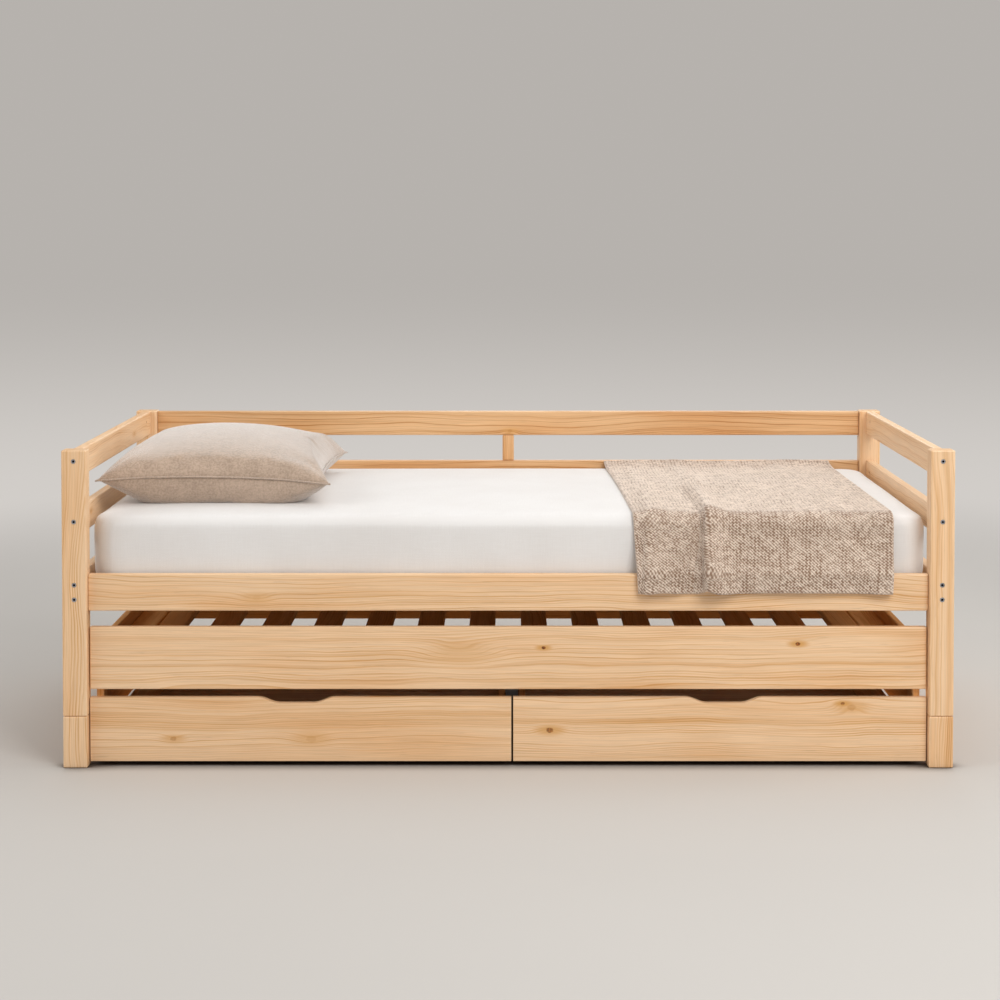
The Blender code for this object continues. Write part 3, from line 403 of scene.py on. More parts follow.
@dataclass(frozen=True)
class PineGrain:
    """How boards are cut from a log, and how their wood shows.

    Distances are in metres. A noise is how much the ways along and across the grain count, its scale
    and its octaves; the bands have the last two only. A ramp, like late_start and late_end, is where a
    change starts and ends, and what it goes from and to. Another pair is a factor and what is added.
    """

    log_spread: Triple = (31.0, 17.0, 23.0)
    pith_side: Pair = (0.055, 0.06)
    pith_depth: Pair = (-0.035, -0.03)
    tilt: Pair = (0.03, -0.015)
    sway: float = 0.07
    sway_noise: Four = (1.0, 1.6, 1.5, 1)
    sink: float = 0.055
    sink_noise: Four = (1.2, 2.0, 1.5, 1)
    ripple: float = 0.016
    ripple_noise: Four = (1.0, 4.0, 5.0, 2)
    late_start: Pair = (0.2, 0.86)
    late_end: Pair = (1.0, 0.9)
    vigour: Pair = (1.1, 0.1)
    fade_noise: Four = (1.0, 3.0, 3.0, 1)
    fade_ramp: Four = (0.3, 0.7, 0.35, 1.0)
    streak: float = 0.5
    streak_noise: Four = (1.3, 48.0, 1.0, 2)
    streak_ramp: Pair = (0.5, 0.78)
    band: float = 0.34
    band_noise: Pair = (0.33, 1)
    band_ramp: Pair = (0.46, 0.74)
    blotch_noise: Four = (1.0, 6.0, 2.2, 1)
    blotch_ramp: Pair = (0.42, 0.75)
    fibre_noise: Four = (9.0, 420.0, 1.0, 2)
    fibre_ramp: Four = (0.25, 0.75, 0.93, 1.06)
    fleck_noise: Four = (22.0, 260.0, 1.0, 1)
    fleck_ramp: Four = (0.66, 0.8, 1.0, 0.9)
    edge: Colour = (0.86, 0.63, 0.41)
    edge_width: float = 0.004
    edge_share: float = 0.22
    end: Colour = (0.50, 0.29, 0.14)
    end_share: float = 0.35
    roughness: float = 0.4
    end_roughness: float = 0.2
    fibre_roughness: float = 0.12
    fibre_relief: float = 0.6
    late_relief: float = 0.4
    knot: KnotPattern = KnotPattern()

    def effect(self, edges: bpy.types.NodeTree) -> bpy.types.NodeTree:
        """Make the group of planed pine, cut from a log whose pith lies off to one side of the board.

        Args:
            edges: The group that finds a board's edges.

        Returns:
            The group; its Point has X along the grain, Y across the wider face and Z through the board.
        """
        knot = self.knot.effect()
        takes = {"Point": VECTOR, "Half": VECTOR, "Seed": NUMBER, "Ring Width": NUMBER, "Lines": NUMBER,
                 "Heart": NUMBER, "Pale": COLOUR, "Line": COLOUR, "Red": COLOUR}
        for label in KNOT_LABELS:
            takes |= {f"Knot {label}": VECTOR, f"Depth {label}": NUMBER}
        effect = Effect("planed_pine", takes, {"Color": COLOUR, "Roughness": NUMBER, "Height": NUMBER})
        graph, taken = effect.graph, effect.taken
        point = taken["Point"]
        chance = graph.add("ShaderNodeTexWhiteNoise", {"W": taken["Seed"]}, noise_dimensions="1D")
        chance = chance.outputs["Color"]
        place = graph.vector("MULTIPLY_ADD", chance, self.log_spread, point)
        reach = self.reach(graph, point, place, chance)
        knots = [graph.group(knot, {"Point": point, "Spot": taken[f"Knot {label}"],
                                    "Depth": taken[f"Depth {label}"]}).outputs for label in KNOT_LABELS]
        for found in knots:
            reach = graph.plus(reach, found["Lift"])
        late = self.late_wood(graph, taken, reach, place)
        colour = graph.mix(late, taken["Pale"], taken["Line"])
        blotch = graph.ramp(graph.long_noise(place, *self.blotch_noise), *self.blotch_ramp)
        blotch = graph.times(blotch, taken["Heart"])
        colour = graph.mix(blotch, colour, graph.mix(1.0, colour, taken["Red"], "MULTIPLY"))
        fibre = graph.long_noise(place, *self.fibre_noise)
        fleck = graph.long_noise(place, *self.fleck_noise)
        tone = graph.times(graph.ramp(fibre, *self.fibre_ramp), graph.ramp(fleck, *self.fleck_ramp))
        colour = graph.mix(1.0, colour, graph.join(tone, tone, tone), "MULTIPLY")
        colour = self.knot.paint(graph, taken, knots, colour)
        box = {"Point": point, "Half": taken["Half"], "Width": self.edge_width}
        border = graph.group(edges, box).outputs
        colour = graph.mix(graph.times(border["Edge"], self.edge_share), colour, self.edge)
        colour = graph.mix(graph.times(border["End"], self.end_share), colour, self.end)
        rough = graph.scaled(border["End"], self.end_roughness, self.roughness)
        rough = graph.scaled(fibre, self.fibre_roughness, rough)
        height = graph.plus(graph.times(fibre, self.fibre_relief), graph.times(late, self.late_relief))
        return effect.put_out(color=colour, roughness=rough, height=height)

    def reach(self, graph: Graph, point: Feed, place: Feed, chance: Feed) -> bpy.types.NodeSocket:
        """How far a point lies from the pith of its log.

        Args:
            graph: The graph that takes the nodes.
            point: The point on the board.
            place: The same point in its log.
            chance: Three chances of the board.

        Returns:
            The distance's socket.
        """
        chance_x, chance_y, chance_z = graph.split(chance)
        spot = graph.vector("ADD", point, chance)
        x, y, z = graph.split(point)
        sway = graph.long_noise(place, *self.sway_noise)
        sink = graph.long_noise(spot, *self.sink_noise)
        ripple = graph.long_noise(place, *self.ripple_noise)
        side = graph.math("SIGN", graph.math("SUBTRACT", chance_x, 0.5))
        pith_y = graph.times(side, graph.scaled(chance_y, *self.pith_side))
        pith_z = graph.scaled(chance_z, *self.pith_depth)
        off_y = graph.scaled(sway, self.sway, graph.math("SUBTRACT", y, self.sway / 2))
        off_y = graph.math("SUBTRACT", off_y, pith_y)
        off_z = graph.scaled(sink, self.sink, graph.math("SUBTRACT", z, self.sink / 2))
        off_z = graph.math("SUBTRACT", off_z, pith_z)
        off_z = graph.scaled(graph.scaled(chance_z, *self.tilt), x, off_z)
        reach = graph.vector("LENGTH", graph.join(0.0, off_y, off_z))
        return graph.scaled(ripple, self.ripple, reach)

    def late_wood(self, graph: Graph, taken: bpy.types.bpy_prop_collection, reach: Feed,
                  place: Feed) -> bpy.types.NodeSocket:
        """How much dark late wood shows: growth lines, resin streaks and bands of darker years.

        Args:
            graph: The graph that takes the nodes.
            taken: The inputs of the board's group.
            reach: The distance from the pith.
            place: The point in its log.

        Returns:
            The share's socket.
        """
        rings = graph.math("DIVIDE", reach, taken["Ring Width"])
        number = graph.math("FLOOR", rings)
        year = graph.math("SUBTRACT", rings, number)
        late = graph.times(graph.ramp(year, *self.late_start), graph.ramp(year, *self.late_end))
        vigour = graph.add("ShaderNodeTexWhiteNoise", {"W": graph.plus(number, taken["Seed"])},
                           noise_dimensions="1D").outputs["Value"]
        vigour = graph.times(vigour, vigour)
        late = graph.times(late, graph.scaled(vigour, *self.vigour))
        fade = graph.ramp(graph.long_noise(place, *self.fade_noise), *self.fade_ramp)
        late = graph.times(graph.times(late, fade), taken["Lines"], clamp=True)
        streak = graph.ramp(graph.long_noise(place, *self.streak_noise), *self.streak_ramp)
        late = graph.scaled(graph.times(streak, taken["Heart"]), self.streak, late, clamp=True)
        band = graph.noise(graph.join(rings, taken["Seed"], 0.0), *self.band_noise)
        return graph.scaled(graph.ramp(band, *self.band_ramp), self.band, late, clamp=True)


def weave_effect() -> bpy.types.NodeTree:
    """Make the group of woven cloth: threads laid two ways on whichever side a face looks to, with slubs.

    Returns:
        The group.
    """
    takes = {"Point": VECTOR, "Normal": VECTOR, "Threads": NUMBER, "Slubs": NUMBER}
    effect = Effect("woven_cloth", takes, {"Shade": NUMBER, "Height": NUMBER})
    graph, taken = effect.graph, effect.taken
    x, y, z = graph.split(taken["Point"])
    facing = graph.split(graph.vector("ABSOLUTE", taken["Normal"]))
    heights, shades = [], []
    for (first, second), share in zip(((y, z), (x, z), (x, y)), facing):
        weight = graph.ramp(share, 0.4, 0.8)
        waves = [graph.math("SINE", graph.times(way, taken["Threads"])) for way in (first, second)]
        heights.append(graph.times(graph.times(*waves), weight))
        streaks = []
        for long_way, short_way in ((first, second), (second, first)):
            place = graph.join(graph.times(long_way, SLUB_DRAW), short_way, 0.0)
            place = graph.vector("SCALE", place)
            graph.feed(place.node.inputs["Scale"], taken["Slubs"])
            streaks.append(graph.noise(place, 1.0, 2))
        shades.append(graph.times(graph.plus(*streaks), weight))
    height, shade = (graph.plus(graph.plus(*rows[:2]), rows[2]) for rows in (heights, shades))
    return effect.put_out(shade=graph.times(shade, 0.5), height=height)


def age_effect() -> bpy.types.NodeTree:
    """Make the group of uneven handling marks and dust on metal, plastic and cloth.

    Returns:
        The group.
    """
    takes = {"Point": VECTOR, "Scale": NUMBER}
    effect = Effect("handling_marks", takes, {"Mottle": NUMBER, "Scratch": NUMBER})
    graph, taken = effect.graph, effect.taken
    place = graph.vector("SCALE", taken["Point"])
    graph.feed(place.node.inputs["Scale"], taken["Scale"])
    mottle = graph.noise(place, 1.0, 4)
    scratch = graph.long_noise(place, 1.0, 14.0, 3.0, 2)
    return effect.put_out(mottle=mottle, scratch=graph.ramp(scratch, 0.55, 0.75))


class Effects:
    """The shared shader groups."""

    def __init__(self) -> None:
        """Build each group once."""
        self.pine = PineGrain().effect(edge_effect())
        self.weave = weave_effect()
        self.age = age_effect()


# Finishes


def new_material(name: str) -> tuple[bpy.types.Material, Graph, bpy.types.Node]:
    """Make a material with its Principled shader.

    Args:
        name: The material's name.

    Returns:
        The material, its graph and the shader.
    """
    material = bpy.data.materials.new(name)
    material.use_nodes = True
    return material, Graph(material.node_tree), material.node_tree.nodes["Principled BSDF"]


def add_bump(graph: Graph, shader: bpy.types.Node, height: Feed, distance: float) -> None:
    """Let a height field tilt the surface.

    Args:
        graph: The material's graph.
        shader: Its Principled shader.
        height: The height field.
        distance: The height in metres at a value of 1.
    """
    bump = graph.add("ShaderNodeBump", {"Height": height, "Distance": distance, "Strength": 1.0})
    graph.feed(shader.inputs["Normal"], bump.outputs[0])


@dataclass(frozen=True)
class Knot:
    """A knot on a board, placed from the board's middle along the grain and across it.

    Its depth is its darkness.
    """

    along: float
    across: float
    radius: float
    depth: float = 1.0


NO_KNOT = Knot(40.0, 40.0, 0.0)


@dataclass(frozen=True)
class Pine:
    """Planed pine under a clear matt lacquer."""

    pale: Colour = (0.90, 0.625, 0.385)
    line: Colour = (0.68, 0.355, 0.12)
    red: Colour = (0.93, 0.80, 0.64)
    ring_width: float = 0.0052
    lines: float = 0.85
    heart: float = 0.6
    grain_relief: float = 0.00025
    specular: float = 0.5
    coat: float = 0.12
    coat_roughness: float = 0.35
    slat_seed: float = 1.37

    def dress(self, node: bpy.types.Object, effects: Effects, seed: float, knots: Sequence[Knot] = (),
              pitch: float = 0.0) -> None:
        """Give a board, or a row of slats, its own piece of pine.

        Args:
            node: The board.
            effects: The shared groups.
            seed: What makes its grain differ from that of other boards.
            knots: Up to three knots.
            pitch: From slat to slat along X, or 0 on a single board.
        """
        low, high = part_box(node.name)
        half = (high - low) / 2
        axes = sorted(range(3), key=lambda axis: -half[axis])
        if pitch:
            axes = [1, 0, 2]
        centre = (low + high) / 2
        material, graph, shader = new_material(f"pine_{node.name}")
        place = graph.place()
        parts = graph.split(graph.vector("SUBTRACT", place, tuple(centre)))
        turned = [parts[axis] for axis in axes]
        sizes = [half[axis] for axis in axes]
        number: Feed = seed
        if pitch:
            slat = graph.plus(graph.math("FLOOR", graph.math("DIVIDE", turned[1], pitch)), 0.5)
            turned[1] = graph.scaled(slat, -pitch, turned[1])
            number = graph.scaled(slat, self.slat_seed, seed)
            sizes = [sizes[0], 1.0, 1.0]
        feeds = {"Point": graph.join(*turned), "Half": tuple(sizes), "Seed": number,
                 "Ring Width": self.ring_width, "Lines": self.lines, "Heart": self.heart,
                 "Pale": opaque(self.pale), "Line": opaque(self.line), "Red": opaque(self.red)}
        for label, knot in zip(KNOT_LABELS, (*knots, NO_KNOT, NO_KNOT, NO_KNOT)):
            feeds |= {f"Knot {label}": (knot.along, knot.across, knot.radius), f"Depth {label}": knot.depth}
        grain = graph.group(effects.pine, feeds).outputs
        graph.feed_all(shader, {"Base Color": grain["Color"], "Roughness": grain["Roughness"],
                                "Specular IOR Level": self.specular, "Coat Weight": self.coat,
                                "Coat Roughness": self.coat_roughness})
        add_bump(graph, shader, grain["Height"], self.grain_relief)
        wear(node, material)


def wear(thing: bpy.types.Object, material: bpy.types.Material) -> None:
    """Give a piece one material."""
    thing.data.materials.clear()
    thing.data.materials.append(material)


@dataclass(frozen=True)
class Steel:
    """Zinc-plated steel."""

    colour: Colour = (0.36, 0.375, 0.405)
    roughness: float = 0.27
    dull: float = 0.6
    mark_scale: float = 90.0
    mark_roughness: float = 0.22
    scratch_relief: float = 0.00003

    def material(self, effects: Effects, name: str = "zinc_steel") -> bpy.types.Material:
        """Make the material.

        Args:
            effects: The shared groups.
            name: The material's name.

        Returns:
            The material.
        """
        material, graph, shader = new_material(name)
        place = graph.place()
        marks = graph.group(effects.age, {"Point": place, "Scale": self.mark_scale}).outputs
        dull = tuple(self.dull * part for part in self.colour)
        worn = graph.ramp(marks["Mottle"], 0.4, 0.8)
        graph.feed_all(shader, {"Base Color": graph.mix(worn, self.colour, dull), "Metallic": 1.0,
                                "Roughness": graph.scaled(marks["Mottle"], self.mark_roughness,
                                                          self.roughness)})
        add_bump(graph, shader, marks["Scratch"], self.scratch_relief)
        return material


@dataclass(frozen=True)
class Plastic:
    """Moulded plastic of the castor wheels."""

    colour: Colour = (0.035, 0.035, 0.038)
    dust: Colour = (0.16, 0.15, 0.14)
    dust_share: float = 0.5
    roughness: float = 0.35
    mark_scale: float = 60.0
    mark_roughness: float = 0.3
    scratch_relief: float = 0.00005

    def material(self, effects: Effects) -> bpy.types.Material:
        """Make the material.

        Args:
            effects: The shared groups.

        Returns:
            The material.
        """
        material, graph, shader = new_material("wheel_plastic")
        place = graph.place()
        marks = graph.group(effects.age, {"Point": place, "Scale": self.mark_scale}).outputs
        dusty = graph.times(graph.ramp(marks["Mottle"], 0.45, 0.8), self.dust_share)
        graph.feed_all(shader, {"Base Color": graph.mix(dusty, self.colour, self.dust),
                                "Roughness": graph.scaled(marks["Mottle"], self.mark_roughness,
                                                          self.roughness)})
        add_bump(graph, shader, marks["Scratch"], self.scratch_relief)
        return material


@dataclass(frozen=True)
class Plywood:
    """Thin plywood of the drawer bottoms, with the steel castor forks under it."""

    colour: Colour = (0.58, 0.37, 0.18)
    streak: Colour = (0.42, 0.23, 0.09)
    underside: float = 0.0349
    roughness: float = 0.6
    mark_scale: float = 9.0
    mark_roughness: float = 0.1
    streak_noise: Four = (4.0, 60.0, 1.0, 3)
    streak_relief: float = 0.0001
    steel: Steel = Steel()

    def dress(self, node: bpy.types.Object, effects: Effects) -> None:
        """Dress a drawer bottom and its forks.

        Args:
            node: The drawer bottom.
            effects: The shared groups.
        """
        material, graph, shader = new_material(f"plywood_{node.name}")
        place = graph.place()
        marks = graph.group(effects.age, {"Point": place, "Scale": self.mark_scale}).outputs
        streaks = graph.long_noise(place, *self.streak_noise)
        ply = graph.mix(graph.ramp(streaks, 0.35, 0.75), self.colour, self.streak)
        metal = graph.math("LESS_THAN", graph.split(place)[2], self.underside)
        rough = graph.scaled(metal, self.steel.roughness - self.roughness, self.roughness)
        graph.feed_all(shader, {"Base Color": graph.mix(metal, ply, self.steel.colour), "Metallic": metal,
                                "Roughness": graph.scaled(marks["Mottle"], self.mark_roughness, rough)})
        add_bump(graph, shader, streaks, self.streak_relief)
        wear(node, material)


@dataclass(frozen=True)
class Cloth:
    """Woven cloth of a soft piece."""

    name: str
    colour: Colour
    shade: Colour
    thread: float
    relief: float
    slubs: float
    streaks: float = 0.7
    roughness: float = 0.9
    sheen: float = 0.3
    sheen_roughness: float = 0.5
    mottle: float = 0.3
    mottle_scale: float = 14.0
    pile_noise: Pair = (210.0, 3)
    speckle: float = 0.0

    def material(self, effects: Effects) -> bpy.types.Material:
        """Make the material.

        Args:
            effects: The shared groups.

        Returns:
            The material.
        """
        material, graph, shader = new_material(self.name)
        source = graph.add("ShaderNodeTexCoord").outputs
        feeds = {"Point": source["Object"], "Normal": source["Normal"], "Threads": 2 * math.pi / self.thread,
                 "Slubs": self.slubs}
        weave = graph.group(effects.weave, feeds).outputs
        marks = graph.group(effects.age, {"Point": source["Object"], "Scale": self.mottle_scale}).outputs
        pile = graph.ramp(graph.noise(source["Object"], *self.pile_noise), 0.32, 0.68)
        tone = graph.scaled(graph.ramp(marks["Mottle"], 0.3, 0.7), self.mottle,
                            graph.times(pile, self.speckle))
        streak = graph.ramp(weave["Shade"], 0.35, 0.65)
        tone = graph.scaled(streak, self.streaks, tone, clamp=True)
        graph.feed_all(shader, {"Base Color": graph.mix(tone, self.colour, self.shade),
                                "Roughness": graph.scaled(tone, 0.08, self.roughness - 0.04),
                                "Sheen Weight": self.sheen, "Sheen Roughness": self.sheen_roughness})
        height = graph.plus(weave["Height"], graph.times(weave["Shade"], 2.0))
        height = graph.scaled(pile, 4.0 * self.speckle, height)
        add_bump(graph, shader, height, self.relief)
        return material


@dataclass(frozen=True)
class Knit:
    """Chunky knitted yarn, with painted shade in the hollows between its stitches."""

    yarn: Colour = (0.84, 0.695, 0.575)
    # Dark brown of the painted shade in the hollows between stitches.
    hollow: Colour = (0.25, 0.145, 0.085)
    fuzz: float = 0.00035
    fibre_noise: Pair = (900.0, 3)
    dull: float = 0.9
    hollow_shade_ramp: Pair = (0.80, 0.08)
    mottle_scale: float = 10.0
    roughness: float = 0.87
    sheen: float = 0.35
    sheen_roughness: float = 0.6

    def material(self, effects: Effects) -> bpy.types.Material:
        """Make the material; it reads how high each point of a stitch stands from the mesh, and paints shade
        where the yarn stands low.

        Args:
            effects: The shared groups.

        Returns:
            The material.
        """
        material, graph, shader = new_material("knit")
        place = graph.place()
        stand = graph.add("ShaderNodeAttribute", attribute_name=STITCH).outputs["Fac"]
        marks = graph.group(effects.age, {"Point": place, "Scale": self.mottle_scale}).outputs
        fibre = graph.noise(place, *self.fibre_noise)
        dull = tuple(self.dull * part for part in self.yarn)
        body = graph.mix(graph.ramp(marks["Mottle"], 0.3, 0.75), self.yarn, dull)
        # Painted shade: the colour falls towards the hollow colour where the stitch stands low.
        colour = graph.mix(graph.ramp(stand, *self.hollow_shade_ramp), body, self.hollow)
        tone = graph.ramp(fibre, 0.3, 0.7, 0.9, 1.06)
        colour = graph.mix(1.0, colour, graph.join(tone, tone, tone), "MULTIPLY")
        graph.feed_all(shader, {"Base Color": colour, "Roughness": graph.scaled(fibre, 0.1, self.roughness),
                                "Sheen Weight": self.sheen, "Sheen Roughness": self.sheen_roughness})
        add_bump(graph, shader, fibre, self.fuzz)
        return material


# Mesh helpers

STITCH = "stitch_height"


def grid_faces(rows: int, columns: int, start: int = 0,
               ring: bool = False) -> list[tuple[int, int, int, int]]:
    """Faces of a grid of points, stored row after row.

    Args:
        rows: Rows of points.
        columns: Points in a row.
        start: The first point's number.
        ring: Whether each row closes on itself.

    Returns:
        The faces, which look to the side where rows run up and columns run right.
    """
    last = columns if ring else columns - 1
    return [(start + row * columns + column, start + row * columns + (column + 1) % columns,
             start + (row + 1) * columns + (column + 1) % columns, start + (row + 1) * columns + column)
            for row in range(rows - 1) for column in range(last)]


def mesh_piece(name: str, points: np.ndarray, faces: Iterable[Sequence[int]]) -> bpy.types.Object:
    """Make a smooth-shaded mesh object.

    Args:
        name: The object's name.
        points: Its points.
        faces: Its faces.

    Returns:
        The object.
    """
    mesh = bpy.data.meshes.new(name)
    mesh.from_pydata(np.asarray(points, float).reshape(-1, 3).tolist(), [], list(faces))
    mesh.validate()
    mesh.shade_smooth()
    return put_in_scene(name, mesh)


def shape_piece(name: str, shape: bmesh.types.BMesh) -> bpy.types.Object:
    """Make an object of a shape that was built with bmesh, and free the shape.

    Args:
        name: The object's name.
        shape: The shape.

    Returns:
        The object.
    """
    mesh = bpy.data.meshes.new(name)
    shape.to_mesh(mesh)
    shape.free()
    return put_in_scene(name, mesh)


def put_in_scene(name: str, data: bpy.types.ID) -> bpy.types.Object:
    """Make an object of a mesh, a lamp or a camera and put it in the scene.

    Args:
        name: The object's name.
        data: What it shows.

    Returns:
        The object.
    """
    thing = bpy.data.objects.new(name, data)
    bpy.context.scene.collection.objects.link(thing)
    return thing


def points_of(mesh: bpy.types.Mesh) -> np.ndarray:
    """Read the places of a mesh's points.

    Args:
        mesh: The mesh.

    Returns:
        One row of x, y and z for each point.
    """
    found = np.empty(len(mesh.vertices) * 3)
    mesh.vertices.foreach_get("co", found)
    return found.reshape(-1, 3)


def move_points(mesh: bpy.types.Mesh, points: np.ndarray) -> None:
    """Move a mesh's points to new places."""
    mesh.vertices.foreach_set("co", np.asarray(points, float).ravel())
    mesh.update()


def evaluated(thing: bpy.types.Object) -> bpy.types.Mesh:
    """A copy of a mesh with its modifiers applied."""
    depsgraph = bpy.context.evaluated_depsgraph_get()
    return bpy.data.meshes.new_from_object(thing.evaluated_get(depsgraph))


def apply_modifiers(thing: bpy.types.Object) -> None:
    """Replace an object's mesh by what its modifiers make of it.

    Args:
        thing: The object.
    """
    mesh = evaluated(thing)
    thing.modifiers.clear()
    thing.data = mesh


def soften(thing: bpy.types.Object) -> None:
    """Divide a soft piece's faces once, smoothly.

    Args:
        thing: The piece.
    """
    finer = thing.modifiers.new("soft_cloth", "SUBSURF")
    finer.levels = finer.render_levels = 1
    apply_modifiers(thing)
    thing.data.shade_smooth()


def smooth_noise(points: np.ndarray, scale: Sequence[float], seed: int, waves: int = 24) -> np.ndarray:
    """Sum of seeded sine waves: a smooth, repeatable unevenness from about -1 to 1.

    Args:
        points: The places.
        scale: Waves in a metre along each axis.
        seed: The seed of the wave directions.
        waves: How many waves.

    Returns:
        One value for each place.
    """
    chance = np.random.default_rng(seed)
    ways = chance.normal(size=(waves, points.shape[1])) * np.asarray(scale) * 2 * math.pi
    phases = chance.uniform(0, 2 * math.pi, waves)
    return np.sin(points @ ways.T + phases).sum(axis=1) / math.sqrt(waves / 2) / 2


def scatter(number: np.ndarray, factor: float) -> np.ndarray:
    """A repeatable chance from 0 to 1 for each number."""
    return np.modf(np.abs(np.sin(number)) * factor)[0]


@dataclass(frozen=True)
class Settling:
    """How a cloth simulation settles a soft piece."""

    steps: int
    pressure: float = 0.0
    gravity: float = 0.0
    stretch: float = 15.0
    bend: float = 0.5
    excess: float = 0.0
    most_move: float = 0.01

    def run(self, thing: bpy.types.Object, held: Sequence[int] = (),
            bumpers: Sequence[bpy.types.Object] = ()) -> None:
        """Simulate a piece, cap how far its points move and keep the result.

        Args:
            thing: The piece.
            held: Points that stay where they are.
            bumpers: What it rests on.
        """
        start = points_of(thing.data)
        cloth = thing.modifiers.new("settling", "CLOTH")
        settings = cloth.settings
        settings.quality = 5
        settings.mass = 0.2
        settings.air_damping = 2.0
        settings.tension_stiffness = self.stretch
        settings.compression_stiffness = self.stretch
        settings.shear_stiffness = self.stretch / 3
        settings.bending_stiffness = self.bend
        settings.use_pressure = self.pressure > 0
        settings.uniform_pressure_force = self.pressure
        settings.effector_weights.gravity = self.gravity
        settings.shrink_min = -self.excess
        cloth.collision_settings.use_collision = bool(bumpers)
        cloth.collision_settings.distance_min = 0.002
        if len(held):
            thing.vertex_groups.new(name="held").add([int(i) for i in held], 1.0, "REPLACE")
            settings.vertex_group_mass = "held"
        cloth.point_cache.frame_start = 1
        cloth.point_cache.frame_end = self.steps
        for bumper in bumpers:
            bumper.modifiers.new("bumper", "COLLISION")
            bumper.collision.thickness_outer = 0.001
            bumper.collision.cloth_friction = 60.0
        scene = bpy.context.scene
        for step in range(1, self.steps + 1):
            scene.frame_set(step)
        moved = points_of(evaluated(thing)) - start
        thing.modifiers.remove(cloth)
        scene.frame_set(1)
        distance = np.linalg.norm(moved, axis=1)
        share = np.minimum(1.0, self.most_move / np.maximum(distance, 1e-9))
        LOG.info("%s settled: it moves %.1f mm at most, capped at %.1f mm", thing.name,
                 1000 * distance.max(), 1000 * self.most_move)
        move_points(thing.data, start + moved * share[:, None])
        for bumper in bumpers:
            bumper.modifiers.clear()


# Soft pieces

MATTRESS_PIECE = "mattress_in_sheet"


